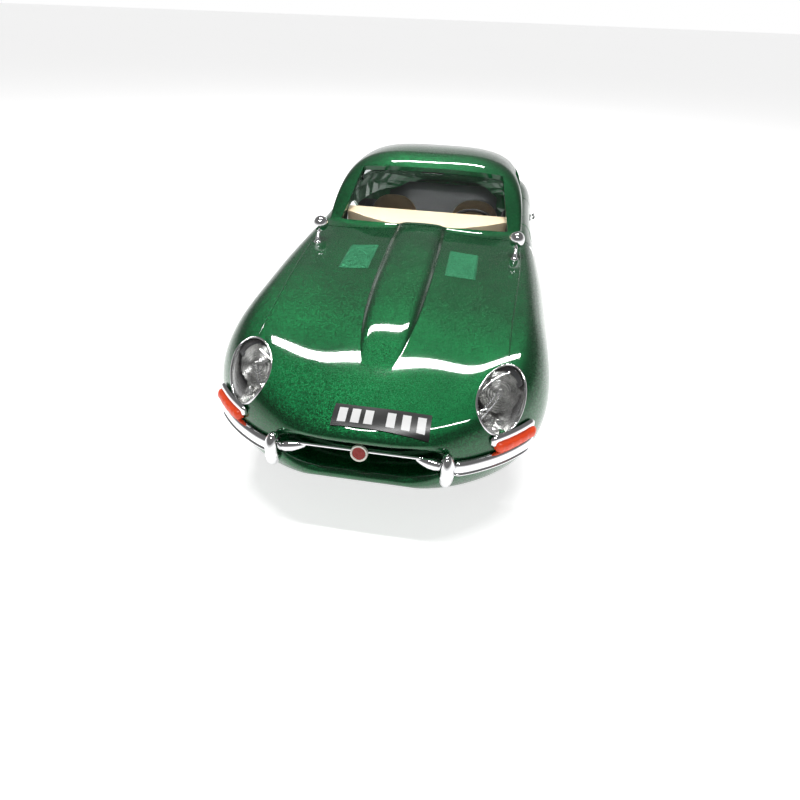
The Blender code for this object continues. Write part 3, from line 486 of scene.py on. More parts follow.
def rounded(corners, radius, steps=6):
    """A flat outline with its corners eased."""
    outline = []
    count = len(corners)
    for i in range(count):
        here = Vector(corners[i])
        before = Vector(corners[i - 1]) - here
        after = Vector(corners[(i + 1) % count]) - here
        reach = min(radius, before.length / 2.1, after.length / 2.1)
        start = here + before.normalized() * reach
        end = here + after.normalized() * reach
        for k in range(steps + 1):
            u = k / steps
            point = start * (1 - u) ** 2 + here * 2 * u * (1 - u) + end * u**2
            outline.append(tuple(point))
    return outline


# ---------------------------------------------------------------- materials
def nodes_for(name):
    made = bpy.data.materials.new(name)
    made.use_nodes = True
    tree = made.node_tree
    return made, tree, tree.nodes["Principled BSDF"]


def add_node(tree, kind, inputs=None, **settings):
    made = tree.nodes.new(kind)
    for key, value in settings.items():
        setattr(made, key, value)
    for key, value in (inputs or {}).items():
        if isinstance(value, bpy.types.NodeSocket):
            tree.links.new(value, made.inputs[key])
        else:
            made.inputs[key].default_value = value
    return made


def noise(tree, scale, detail=3.0):
    where = add_node(tree, "ShaderNodeTexCoord")
    return add_node(tree, "ShaderNodeTexNoise", {
        "Vector": where.outputs["Object"], "Scale": scale, "Detail": detail,
    })


def surface(name, dark, light, rough, scale, bump=0.0, grain=900.0, **fixed):
    """Colour and roughness that drift with noise, and a fine moulded or cast grain."""
    made, tree, shader = nodes_for(name)
    drift = noise(tree, scale)
    ramp = add_node(tree, "ShaderNodeValToRGB", {"Fac": drift.outputs["Fac"]})
    ramp.color_ramp.elements[0].position = 0.3
    ramp.color_ramp.elements[0].color = (*dark, 1)
    ramp.color_ramp.elements[1].position = 0.7
    ramp.color_ramp.elements[1].color = (*light, 1)
    tree.links.new(ramp.outputs["Color"], shader.inputs["Base Color"])
    spread = add_node(tree, "ShaderNodeMapRange", {
        "Value": drift.outputs["Fac"], "To Min": rough[0], "To Max": rough[1],
    })
    tree.links.new(spread.outputs["Result"], shader.inputs["Roughness"])
    if bump:
        fine = noise(tree, grain, 2.0)
        raised = add_node(tree, "ShaderNodeBump", {
            "Height": fine.outputs["Fac"], "Strength": bump, "Distance": 0.0001,
        })
        tree.links.new(raised.outputs["Normal"], shader.inputs["Normal"])
    for key, value in fixed.items():
        shader.inputs[key.replace("_", " ")].default_value = value
    return made


def flake_paint(name, dark, light, metal, glint):
    """Metallic paint: tiny flakes that differ in shade and tilt under a clear coat."""
    made, tree, shader = nodes_for(name)
    where = add_node(tree, "ShaderNodeTexCoord")
    flakes = add_node(tree, "ShaderNodeTexVoronoi", {
        "Vector": where.outputs["Object"], "Scale": 5200.0,
    })
    drift = add_node(tree, "ShaderNodeTexNoise", {
        "Vector": where.outputs["Object"], "Scale": 60.0, "Detail": 3.0,
    })
    shade = add_node(tree, "ShaderNodeSeparateColor", {"Color": flakes.outputs["Color"]})
    both = add_node(tree, "ShaderNodeMath", {
        0: shade.outputs["Red"], 1: drift.outputs["Fac"],
    }, operation="MULTIPLY_ADD")
    both.inputs[2].default_value = 0.22
    ramp = add_node(tree, "ShaderNodeValToRGB", {"Fac": both.outputs["Value"]})
    ramp.color_ramp.elements[0].position = 0.15
    ramp.color_ramp.elements[0].color = (*dark, 1)
    ramp.color_ramp.elements[1].position = 0.85
    ramp.color_ramp.elements[1].color = (*light, 1)
    tree.links.new(ramp.outputs["Color"], shader.inputs["Base Color"])
    tilt = add_node(tree, "ShaderNodeVectorMath", {
        0: flakes.outputs["Color"], 1: (0.5, 0.5, 0.5),
    }, operation="SUBTRACT")
    small = add_node(tree, "ShaderNodeVectorMath", {0: tilt.outputs["Vector"]}, operation="SCALE")
    small.inputs["Scale"].default_value = glint
    face = add_node(tree, "ShaderNodeNewGeometry")
    leaning = add_node(tree, "ShaderNodeVectorMath", {
        0: face.outputs["Normal"], 1: small.outputs["Vector"],
    }, operation="ADD")
    unit = add_node(tree, "ShaderNodeVectorMath", {0: leaning.outputs["Vector"]}, operation="NORMALIZE")
    tree.links.new(unit.outputs["Vector"], shader.inputs["Normal"])
    spread = add_node(tree, "ShaderNodeMapRange", {
        "Value": drift.outputs["Fac"], "To Min": 0.38, "To Max": 0.46,
    })
    tree.links.new(spread.outputs["Result"], shader.inputs["Roughness"])
    shader.inputs["Metallic"].default_value = metal
    shader.inputs["Specular IOR Level"].default_value = 0.05
    shader.inputs["Coat Weight"].default_value = 1.0
    shader.inputs["Coat Roughness"].default_value = 0.035
    shader.inputs["Coat IOR"].default_value = 1.55
    return made


def clear(name, tint, rough):
    """Clear moulding that lets lamps through to what is behind it."""
    made, tree, shader = nodes_for(name)
    drift = noise(tree, 90.0)
    ramp = add_node(tree, "ShaderNodeValToRGB", {"Fac": drift.outputs["Fac"]})
    ramp.color_ramp.elements[0].color = (*[c * 0.97 for c in tint], 1)
    ramp.color_ramp.elements[1].color = (*tint, 1)
    tree.links.new(ramp.outputs["Color"], shader.inputs["Base Color"])
    shader.inputs["Roughness"].default_value = rough
    shader.inputs["Transmission Weight"].default_value = 1.0
    shader.inputs["IOR"].default_value = 1.4
    through = add_node(tree, "ShaderNodeBsdfTransparent")
    path = add_node(tree, "ShaderNodeLightPath")
    mix = add_node(tree, "ShaderNodeMixShader", {
        0: path.outputs["Is Shadow Ray"], 1: shader.outputs["BSDF"], 2: through.outputs["BSDF"],
    })
    tree.links.new(mix.outputs["Shader"], tree.nodes["Material Output"].inputs["Surface"])
    return made


PAINT = flake_paint("green_paint", (0.0005, 0.036, 0.010), (0.006, 0.150, 0.042), 0.85, 0.34)
# a lighter copy of the green paint for the louvres: painted sheen for the light their slats catch
LOUVRE_PAINTED_SHEEN = flake_paint("green_louvres", (0.012, 0.13, 0.055), (0.05, 0.30, 0.14), 0.5, 0.6)
BLACK_METAL = surface("black_metal", (0.010,) * 3, (0.022,) * 3, (0.35, 0.5), 120, 0.3, Metallic=0.2)
STEEL = surface("steel", (0.38,) * 3, (0.6,) * 3, (0.22, 0.4), 300, 0.15, Metallic=1.0)
BLACK_PLASTIC = surface("black_plastic", (0.008, 0.008, 0.009), (0.018, 0.018, 0.02), (0.45, 0.6), 90, 0.4)
CREAM = surface("cream_plastic", (0.70, 0.545, 0.35), (0.78, 0.62, 0.42), (0.42, 0.55), 70, 0.35)
TAN = surface("tan_plastic", (0.42, 0.30, 0.17), (0.54, 0.39, 0.24), (0.45, 0.6), 110, 0.5)
CHROME = surface(
    "chrome", (0.74, 0.74, 0.75), (0.84, 0.84, 0.85), (0.05, 0.13), 260, 0.06, 400, Metallic=1.0)
WORN_CHROME = surface(
    "lamp_silver", (0.55, 0.55, 0.54), (0.8, 0.8, 0.78), (0.12, 0.3), 420, 0.25, 700, Metallic=1.0)
RED = surface(
    "red_plastic", (0.28, 0.018, 0.012), (0.42, 0.03, 0.02), (0.2, 0.35), 160, 0.15, Coat_Weight=0.4)
ORANGE = surface("orange_plastic", (0.80, 0.055, 0.008), (0.95, 0.085, 0.014), (0.3, 0.42), 240, 0.5, 500)
CREAM_RING = surface("ring_enamel", (0.72, 0.70, 0.62), (0.8, 0.78, 0.7), (0.25, 0.4), 300)
PLATE = surface("plate_black", (0.006,) * 3, (0.012,) * 3, (0.25, 0.35), 150, 0.1)
WHITE = surface("plate_white", (0.78,) * 3, (0.86,) * 3, (0.3, 0.4), 200, 0.1)
ENGINE = surface("engine_grey", (0.22,) * 3, (0.34,) * 3, (0.4, 0.6), 150, 0.7, 500, Metallic=0.7)
POLISHED = surface("polished", (0.7,) * 3, (0.82,) * 3, (0.15, 0.28), 240, 0.2, Metallic=1.0)
WOOD = surface("wood", (0.10, 0.035, 0.012), (0.2, 0.08, 0.03), (0.18, 0.3), 500, 0.2, Coat_Weight=0.6)
TYRE = surface("tyre", (0.012,) * 3, (0.024,) * 3, (0.6, 0.78), 140, 0.6, 1400)
GLASS_CLEAR = clear("clear_glass", (0.93, 0.955, 0.95), 0.0)
LENS_CLEAR = clear("clear_lens", (0.985, 0.99, 0.99), 0.01)
GAUGE = surface("gauge", (0.012,) * 3, (0.02,) * 3, (0.12, 0.2), 90)


def piece(made, look, body, slot_name, *stands_for, crease=32):
    """Give a mesh its material, smooth it, and let it ride on a body."""
    mesh = made.data
    mesh.materials.clear()
    mesh.materials.append(look)
    mesh.shade_smooth()
    mesh.set_sharp_from_angle(angle=math.radians(crease))
    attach(made, body)
    if stands_for:
        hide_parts(*stands_for)
    return made


# ---------------------------------------------------------------- the skin as a guide
guide_grid = body_grid(0.0, FINE, FINE_ROUND)
guide = loft("guide", guide_grid)
guide_points = [v.co.copy() for v in guide.data.vertices]
guide_faces = [tuple(p.vertices) for p in guide.data.polygons]
guide_normals = [Vector(n.vector) for n in guide.data.vertex_normals]
skin = BVHTree.FromPolygons(guide_points, guide_faces)


def skin_normal(where, face):
    """The skin's normal at a spot, eased between the corners of its face."""
    corners = guide_faces[face]
    share = poly_3d_calc([guide_points[i] for i in corners], where)
    total = Vector((0, 0, 0))
    for weight, i in zip(share, corners):
        total += guide_normals[i] * weight
    return total.normalized()


def on_skin(start, direction):
    """Where a line first meets the skin, and the smooth normal there."""
    spot, _, face, _ = skin.ray_cast(Vector(start), Vector(direction))
    if spot is None:
        spot, _, face, _ = skin.find_nearest(Vector(start))
    return spot, skin_normal(spot, face)


def above(x, y):
    """The skin over a drawn x and y."""
    return on_skin(place(x, y, 2000), (0, 0, -1))


def shade_from_skin(made):
    """Give the outer faces of a shell the skin's own smooth normals."""
    mesh = made.data
    normals = [None] * len(mesh.loops)
    found = {}
    for polygon in mesh.polygons:
        for i in polygon.loop_indices:
            corner = mesh.loops[i].vertex_index
            if corner not in found:
                spot, _, face, far = skin.find_nearest(mesh.vertices[corner].co)
                found[corner] = skin_normal(spot, face) if far < 4e-6 else None
            normal = found[corner]
            if normal is None or normal.dot(polygon.normal) < 0.8:
                normal = polygon.normal
            normals[i] = tuple(normal)
    mesh.normals_split_custom_set(normals)


# ---------------------------------------------------------------- outlines
def door_outline(shrink):
    front, rear = 2060.0 + shrink, 2930.0 - shrink
    bottom, top = 292.0 + shrink, BELT - shrink
    return rounded([
        (front, bottom), (rear, bottom), (rear, top), (2275 + shrink, top),
        (2240 + shrink, 824 - shrink), (front, 820 - shrink),
    ], 40)


side_window = rounded([
    (2232, BELT - 4), (2884, BELT - 4), (2884, 1096), (2620, 1106), (2486, 1066),
], 26)
quarter_window = rounded([(2968, 922), (3320, 932), (3240, 1040), (2968, 1090)], 34)
screen_lower = [(x, 1955 + 78 * (x / 570) ** 2) for x in np.linspace(-572, 572, 41)]
screen_upper = [(x, 2408 + 44 * (x / 500) ** 2) for x in np.linspace(500, -500, 33)]
screen_window = rounded(screen_lower + screen_upper, 26, 2)
rear_window = rounded([(-400, 3210), (400, 3210), (318, 3880), (-318, 3880)], 90)

# the headlamp opening, seen along its own axis
LAMP_CENTRE = place(574.0, 306.0, 694.0)
LAMP_OUT = Vector((0.22, -0.58, 0.78)).normalized()
LAMP_ACROSS = (Vector((1, 0, 0)) - LAMP_OUT * LAMP_OUT.x).normalized()
LAMP_BACK = LAMP_OUT.cross(LAMP_ACROSS)
LAMP_DEPTH = 0.0075
LAMP_LEAN = math.radians(-14)


def lamp_edge(angle, grow=0.0):
    """A point of the lamp's outline, in metres from its centre."""
    u = 102.0 * math.sin(angle) * (1 - 0.16 * math.cos(angle))
    v = 174.0 * math.cos(angle)
    across = SCALE.x * (u * math.cos(LAMP_LEAN) - v * math.sin(LAMP_LEAN))
    along = SCALE.y * (u * math.sin(LAMP_LEAN) + v * math.cos(LAMP_LEAN))
    out = math.hypot(across, along)
    return across * (1 + grow / out), along * (1 + grow / out)


def lamp_point(u, v, w=0.0):
    return LAMP_CENTRE + LAMP_ACROSS * u + LAMP_BACK * v + LAMP_OUT * w


def lamp_skin(u, v):
    return on_skin(lamp_point(u, v, 0.03), -LAMP_OUT)


def lamp_prism(name, grow, low, high, sides=72):
    outline = []
    for i in range(sides):
        u, v = lamp_edge(math.tau * i / sides, grow)
        outline.append(lamp_point(u, v, low))
    return prism(name, outline, LAMP_OUT * (high - low))


# ---------------------------------------------------------------- painted shell
def bonnet_region(name, gap):
    top, side = BONNET_SHUT_TOP - gap, BONNET_SHUT_SIDE - gap
    return side_prism(name, [
        (-200, -100), (side, -100), (side, 800), (top, 838), (top, 1500), (-200, 1500),
    ], -1000, 1000)


def make_shell():
    """The whole painted skin, before it is divided."""
    shell = loft("shell", guide_grid)
    combine(shell, "DIFFERENCE", loft("inside", inner_grid()))
    duct = [
        place(320 * math.cos(a), 130, 482 + 50 * math.sin(a))
        for a in np.arange(48) * math.tau / 48
    ]
    combine(shell, "DIFFERENCE", prism("duct", duct, (0, 170 * SCALE.y, 0)))
    arches = []
    for axle, drop in ((FRONT_AXLE, 0.0), (REAR_AXLE, REAR_ARCH_DROP)):
        centre = place(455, axle, 0)
        centre.z = TYRE_RADIUS - drop
        left = rod("arch", centre, centre + Vector((SIZE.x, 0, 0)), TYRE_RADIUS + ARCH_GAP, 96)
        arches += [left, mirror_of(left, "arch_right")]
    return combine(shell, "DIFFERENCE", joined("arches", arches))


def make_painted():
    """The body, the bonnet and the doors, cut from one shell."""
    shell = make_shell()
    gap = SHUT_GAP / SCALE.y
    bonnet = combine(copy_of(shell, "bonnet_paint"), "INTERSECT", bonnet_region("front", gap / 2))
    hole = lamp_prism("hole", FIT, -LAMP_DEPTH - FIT, 0.02)
    other_hole = mirror_of(hole, "other_hole")
    combine(bonnet, "DIFFERENCE", hole, other_hole)
    door = combine(
        copy_of(shell, "door_paint_left"), "INTERSECT",
        side_prism("door_region", door_outline(gap), 560, 1000),
    )
    tools = [bonnet_region("bonnet_space", -gap / 2)]
    for side in (-1, 1):
        for name, outline, inner in (
            ("door_space", door_outline(0), 560), ("window_space", side_window, 330),
            ("quarter_space", quarter_window, 330),
        ):
            tools.append(side_prism(name, outline, side * inner, side * 1000))
    tools.append(plan_prism("screen_space", screen_window, 800, 1400))
    tools.append(plan_prism("rear_space", rear_window, 800, 1400))
    body = combine(shell, "DIFFERENCE", *tools)
    body.name = "body_paint"
    other_door = mirror_of(door, "door_paint_right")
    for made, rides, node in (
        (body, "body", "body_shell"), (bonnet, "bonnet", "bonnet"),
        (door, "door_left", "door_left"), (other_door, "door_right", "door_right"),
    ):
        piece(made, PAINT, rides, "green_paint", node)
        shade_from_skin(made)


def make_bonnet_lugs():
    """The two eyes inside the nose that the bonnet turns on."""
    pivot = place(0, 290, 300)
    reach = 0.0017
    lugs = []
    for side in (-1, 1):
        inner, outer = sorted((place(side * 292, 0, 0).x, place(side * 326, 0, 0).x))
        outline = [
            (inner, pivot.y + reach * math.sin(a), pivot.z + reach * math.cos(a))
            for a in np.linspace(0, math.pi, 17)
        ]
        front = place(0, 205, 0).y
        outline += [(inner, front, pivot.z - reach), (inner, front, pivot.z + reach)]
        lugs.append(prism("lug", outline, (outer - inner, 0, 0)))
    piece(joined("bonnet_lugs", lugs), PAINT, "bonnet", "green_paint")


def make_louvres():
    """The two slatted patches either side of the bulge, in a lighter green that paints in the sheen their
    slats catch.
    """
    for side, name in ((1, "left"), (-1, "right")):
        ys = np.linspace(1262, 1600, 121)
        xs = np.linspace(222, 398, 34)
        outer, inner = [], []
        for y in ys:
            wave = ((y - ys[0]) / (ys[-1] - ys[0]) * SLATS) % 1.0
            top, under = [], []
            for k, x in enumerate(xs):
                spot, normal = above(side * x, y)
                edge = min(k, len(xs) - 1 - k) / 2.0
                rise = 0.00006 + 0.00028 * wave * min(1.0, edge)
                top.append(spot + normal * rise)
                under.append(spot - normal * 0.0002)
            outer.append(top)
            inner.append(under)
        piece(slab(f"louvres_{name}", outer, inner), LOUVRE_PAINTED_SHEEN, "bonnet", "green_paint", crease=25)


def make_seams():
    """A thin bead along each wing, from the headlamp to the cowl."""
    for side, name in ((1, "left"), (-1, "right")):
        path = []
        for u in np.linspace(0, 1, 60):
            x = 590 + 62 * smooth(u * 1.2) - 4 * u
            spot, normal = above(side * x, 470 + 1420 * u)
            path.append(spot - normal * 0.00009)
        piece(tube(f"seam_bead_{name}", path, 0.00021, 8), PAINT, "bonnet", "green_paint", crease=80)


# ---------------------------------------------------------------- glass and lamps
def pane(spots):
    """Faces of a clear moulding just inside the wall, from rows of skin points and normals."""
    return [
        [[spot - normal * depth for spot, normal in row] for row in spots]
        for depth in (WALL + FIT, WALL + FIT + GLASS)
    ]


def make_glass():
    screen = []
    for v in np.linspace(0, 1, 26):
        row = []
        for u in np.linspace(-1, 1, 61):
            x = u * (592 * (1 - v) + 520 * v)
            low = 1935 + 78 * (x / 570) ** 2
            high = 2428 + 44 * (x / 500) ** 2
            row.append(above(x, low * (1 - v) + high * v))
        screen.append(row)
    piece(slab("windscreen", *pane(screen)), GLASS_CLEAR, "body", "clear", "windscreen_glass")
    rear = [
        [above(u * (418 * (1 - v) + 336 * v), 3192 + 704 * v) for u in np.linspace(-1, 1, 41)]
        for v in np.linspace(0, 1, 26)
    ]
    piece(slab("rear_window", *pane(rear)), GLASS_CLEAR, "body", "clear", "rear_window_glass")
    quarter = []
    for u in np.linspace(0, 1, 25):
        y = 2948 + 386 * u
        low = 904 + 12 * u
        high = float(np.interp(y, [2948, 3256, 3334], [1106, 1050, 944]))
        quarter.append([
            on_skin(place(1200, y, low + (high - low) * v), (-1, 0, 0)) for v in np.linspace(0, 1, 15)
        ])
    pair(slab("quarter_window_left", *pane(quarter)), GLASS_CLEAR, "clear", "quarter_glass_left",
         body="body")


def pair(made, look, slot_name, *nodes, body="bonnet", crease=32):
    """A left-hand piece and its mirror image."""
    other = mirror_of(made, made.name.replace("left", "right"))
    piece(made, look, body, slot_name, *nodes, crease=crease)
    piece(other, look, body, slot_name, *[n.replace("left", "right") for n in nodes], crease=crease)


def make_lamp_cover():
    """A clear, slightly domed cover, its rim, and the bowl's wall behind it."""
    sides = 72
    outer, inner = [], []
    for share in np.linspace(0.02, 0.985, 14):
        dome = 0.0005 * (1 - share**4)
        over, under = [], []
        for i in range(sides):
            u, v = lamp_edge(math.tau * i / sides)
            spot, normal = lamp_skin(u * share, v * share)
            over.append(spot + normal * (0.00005 + dome))
            under.append(spot - normal * (0.0006 - dome))
        outer.append(over)
        inner.append(under)
    pair(loft("lamp_cover_left", outer + inner[::-1]), LENS_CLEAR, "clear", "headlamp_lens_left")
    rim = []
    for i in range(96):
        spot, normal = lamp_skin(*lamp_edge(math.tau * i / 96, 0.0001))
        rim.append(spot + normal * 0.00004)
    pair(tube("lamp_rim_left", rim, 0.00030, 10, closed=True), CHROME, "chrome", crease=80)
    walls = []
    for share, depth in ((0.995, -0.0008), (0.99, -0.0030), (0.97, -0.0052), (0.9, -0.0066)):
        ring = []
        for i in range(sides):
            u, v = lamp_edge(math.tau * i / sides)
            spot, _ = lamp_skin(u, v)
            ring.append(spot + LAMP_OUT * depth - (LAMP_ACROSS * u + LAMP_BACK * v) * (1 - share))
        walls.append(ring)
    outside = [
        [p + (p - LAMP_CENTRE).normalized() * 0.0002 - LAMP_OUT * 0.0003 for p in ring]
        for ring in walls[::-1]
    ]
    pair(loft("lamp_bowl_left", outside + walls), WORN_CHROME, "chrome", "headlamp_bowl_left")


def make_lamps():
    """The round lamp with its ribbed dome, the bar before it, a black sheet of painted shadow and the
    bowl's facets.
    """
    floor_middle = lamp_point(0.0, 0.0, -0.0052)
    aim = (LAMP_OUT * 0.86 + Vector((0.05, -0.42, -0.05))).normalized()
    centre = floor_middle + LAMP_BACK * 0.0024 + LAMP_OUT * 0.0012
    radius = 0.0052
    profile = [(-0.0016, 0.0030), (-0.0004, radius * 0.97), (0.0, radius)]
    ribs = 7
    for k in range(ribs):
        at = radius * (1 - (k + 0.35) / (ribs + 1.4))
        rise = 0.0014 * (1 - (at / radius) ** 2)
        profile += [
            (rise + 0.00016, at + 0.00022), (rise - 0.00005, at), (rise + 0.00002, at - 0.0001),
        ]
    profile += [(0.00135, 0.0009), (0.0020, 0.00085), (0.0023, 0.0005), (0.00235, 0.0001)]
    pair(turned("headlamp_left", centre, aim, profile, 56), WORN_CHROME, "chrome", crease=24)
    bar_low = lamp_point(-0.0052, -0.0066, -0.0020)
    bar_high = centre + aim * 0.0019
    side = (bar_high - bar_low).cross(LAMP_OUT).normalized()
    bars = [
        tube("bar", [bar_low.lerp(bar_high, u) + side * s for u in (0, 0.5, 1)], 0.00022, 8)
        for s in (-0.0005, 0.0005)
    ]
    pair(joined("lamp_bar_left", bars), CHROME, "chrome", crease=80)
    # a black sheet under the top of the bowl: painted shadow where the top of the bowl is in shade
    top = []
    for inset, deep in ((0.97, -0.0012), (0.74, -0.0030)):
        row = []
        for a in np.linspace(-0.9, 0.9, 21):
            u, v = lamp_edge(a)
            spot, _ = lamp_skin(u * inset, v * inset)
            row.append(spot + LAMP_OUT * deep)
        top.append(row)
    under = [[p - LAMP_OUT * 0.0003 for p in row] for row in top]
    pair(slab("lamp_shade_left", top, under), BLACK_PLASTIC, "black_plastic")
    facets = []
    for u, v, size, lean in (
        (-0.0012, -0.0050, 0.0016, 0.5), (0.0013, -0.0045, 0.0013, -0.6),
        (0.0002, -0.0074, 0.0013, 0.2), (-0.0034, -0.0040, 0.0009, -0.3),
    ):
        spot = lamp_point(u, v, -0.0048)
        tip = (LAMP_OUT + LAMP_ACROSS * lean).normalized()
        facets.append(turned("facet", spot, tip, [
            (-0.0008, size * 0.9), (0.0, size), (0.0004, size * 0.75), (0.0007, size * 0.3),
        ], 9))
    pair(joined("lamp_facets_left", facets), WORN_CHROME, "chrome", crease=20)


# ---------------------------------------------------------------- bumpers and trim
def rail(name, places, z, half_height, thickness, stand, lumps=0.0, ends=0.5):
    """A bar of rounded section that follows the flank at a height."""
    base = [place(*flank(t, z), z) for t in places]
    grid = []
    count = len(base)
    for i, here in enumerate(base):
        run = base[min(i + 1, count - 1)] - base[max(i - 1, 0)]
        out = Vector((run.y, -run.x, 0)).normalized()
        if out.dot(Vector((here.x, here.y * 0.6, 0))) < 0:
            out = -out
        from_end = min(1.0, min(i, count - 1 - i) / (count - 1) / 0.12)
        size = ends + (1 - ends) * math.sqrt(1 - (1 - from_end) ** 2)
        wobble = 1 + lumps * math.sin(i * 1.7) * math.cos(i * 0.61)
        ring = []
        for a in np.linspace(-math.pi / 2, math.pi / 2, 15):
            u_out = abs(math.cos(a)) ** 0.6
            v_up = math.copysign(abs(math.sin(a)) ** 0.8, math.sin(a))
            ring.append(
                here + out * (stand + thickness * size * wobble * u_out)
                + Vector((0, 0, half_height * size * v_up))
            )
        grid.append(ring)
    return loft(name, grid)


def pod(name, x, y_out, y_in, z_low, z_high, half_width):
    """An upright rounded overrider with a mould line round its middle."""
    grid = []
    middle, reach = (y_out + y_in) / 2, (y_out - y_in) / 2
    for u in np.linspace(0.0, 1.0, 29):
        size = max(0.05, (1 - abs(2 * u - 1) ** 2.4)) ** 0.42
        band = 1.0 if abs(u - 0.42) > 0.03 else 1.05
        size = min(size, 0.95) * band
        grid.append([
            place(
                x + half_width * size * math.sin(a), middle + reach * size * math.cos(a),
                z_low + (z_high - z_low) * u,
            )
            for a in np.arange(28) * math.tau / 28
        ])
    return loft(name, grid)


def make_trim():
    blade = rail("bumper", np.linspace(2.3, 6.15, 46), 474, 0.0018, 0.0015, FIT)
    ridge = rail("ridge", np.linspace(2.5, 6.0, 40), 452, 0.0004, 0.0018, FIT)
    over = pod("overrider", 372, NOSE_TIP, 64, 418, 572, 34)
    bracket = turned("bracket", place(346, 22, 500), (-1, 0.25, 0.04), [
        (0, 0.0009), (0.0012, 0.0013), (0.0028, 0.0014), (0.0044, 0.0011), (0.0058, 0.0007),
        (0.0062, 0.0003),
    ], 20)
    pair(joined("front_bumper_chrome_left", [blade, ridge, over, bracket]), CHROME, "chrome",
         "front_bumper_left", crease=45)
    pair(rail("indicator_base_left", np.linspace(4.7, 6.2, 22), 560, 0.0015, 0.0011, 0.0002),
         CHROME, "chrome", crease=45)
    pair(rail("indicator_lens_left", np.linspace(4.7, 6.15, 30), 536, 0.00140, 0.0020, 0.0003, 0.07, 0.3),
         ORANGE, "orange_plastic", "indicator_left", crease=60)
    blade = rail("bumper", np.linspace(20.85, 17.6, 40), 520, 0.0018, 0.0015, FIT)
    over = pod("overrider", 398, TAIL_TIP, 4350, 458, 606, 32)
    pair(joined("rear_bumper_chrome_left", [blade, over]), CHROME, "chrome", "rear_bumper_left",
         body="body", crease=45)
    pair(rail("tail_lamp_base_left", np.linspace(19.9, 18.8, 16), 628, 0.0014, 0.0009, 0.0002),
         CHROME, "chrome", body="body", crease=45)
    pair(rail("tail_lens_left", np.linspace(19.8, 18.9, 16), 628, 0.0011, 0.0015, 0.0003),
         RED, "red_plastic", "tail_lamp_left", body="body", crease=60)
    bar = place(0, 40, 516)
    reach = place(322, 0, 0).x
    made = turned("grille_chrome", (-reach, bar.y, bar.z), (1, 0, 0), [
        (0, 0.0002), (0.0006, 0.0004), (2 * reach - 0.0006, 0.0004), (2 * reach, 0.0002),
    ], 16)
    piece(made, CHROME, "bonnet", "chrome", "grille_bar", crease=50)
    face = bar - Vector((0, 0.0004 + FIT, 0))
    aim = Vector((0, -1, 0.25)).normalized()
    ring = turned("badge_ring", face, aim, [
        (0.0, 0.0016), (0.0, 0.0021), (0.0006, 0.0021), (0.0008, 0.0020), (0.0008, 0.00165),
        (0.0006, 0.0016),
    ], 48, ring=True)
    piece(ring, CREAM_RING, "bonnet", "red_plastic", crease=40)
    profile = [(0.0, 0.00158), (0.00055, 0.00158)]
    for k in range(4):
        at = 0.00145 - 0.0003 * k
        profile += [(0.00068, at), (0.00068, at - 0.00014), (0.00058, at - 0.0002)]
    profile += [(0.0007, 0.0002), (0.0007, 0.00005)]
    piece(turned("badge_disc", face, aim, profile, 40), RED, "bonnet", "red_plastic", "badge", crease=25)


def sheet_over(name, x_low, x_high, y_low, y_high, lift, thick, steps):
    """A thin plate that follows the skin over a drawn rectangle."""
    outer, inner = [], []
    for y in np.linspace(y_low, y_high, steps[1]):
        row, under = [], []
        for x in np.linspace(x_low, x_high, steps[0]):
            spot, normal = above(x, y)
            row.append(spot + normal * (lift + thick))
            under.append(spot + normal * lift)
        outer.append(row)
        inner.append(under)
    return slab(name, outer, inner)


def make_plates():
    """Black plates, with plain blocks in place of characters."""
    piece(sheet_over("front_number_plate", -128, 286, 50, 152, 0.0001, 0.00022, (47, 13)),
          PLATE, "bonnet", "plate_black", "front_plate")
    marks = [
        sheet_over("mark", x, x + 36, 68, 134, 0.00032, 0.00004, (7, 8))
        for x in (-104, -48, 8, 102, 166, 230)
    ]
    piece(joined("plate_marks", marks), WHITE, "bonnet", "plate_black")
    low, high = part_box("rear_plate")
    piece(block("rear_number_plate", low, high), PLATE, "body", "plate_black", "rear_plate")
    wide = (high.x - low.x) / 8
    marks = []
    for k in (0.5, 1.7, 2.9, 4.5, 5.7, 6.9):
        left = low.x + wide * k
        marks.append(block(
            "mark", (left, high.y - 0.0001, low.z + 0.0012),
            (left + wide * 0.7, high.y + 0.00005, high.z - 0.0012),
        ))
    piece(joined("rear_plate_marks", marks), WHITE, "body", "plate_black")


def make_mirrors():
    low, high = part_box("wing_mirror_left")
    foot = Vector(((low.x + high.x) / 2 - 0.0001, low.y + 0.0012, low.z))
    head = Vector((foot.x + 0.0002, foot.y + 0.0050, foot.z + 0.0048))
    stalk = tube("stalk", [
        foot, foot.lerp(head, 0.3) + Vector((0, -0.0003, 0.0004)), foot.lerp(head, 0.7), head,
    ], [0.0008, 0.00055, 0.0005, 0.0006], 14)
    disc = turned("disc", foot, (0, 0, 1), [
        (0, 0.0013), (0.0003, 0.00125), (0.0006, 0.0009), (0.0008, 0.0004),
    ], 28)
    ball = turned("ball", head - Vector((0, 0.0024, 0)), (0, 1, 0), [
        (0, 0.0002), (0.0001, 0.0008), (0.0005, 0.0015), (0.0012, 0.0021), (0.0021, 0.00245),
        (0.0031, 0.0026), (0.0038, 0.0026), (0.0040, 0.0025), (0.0039, 0.0022), (0.0038, 0.0001),
    ], 32)
    pair(joined("mirror_chrome_left", [stalk, disc, ball]), CHROME, "chrome", "wing_mirror_left",
         crease=40)


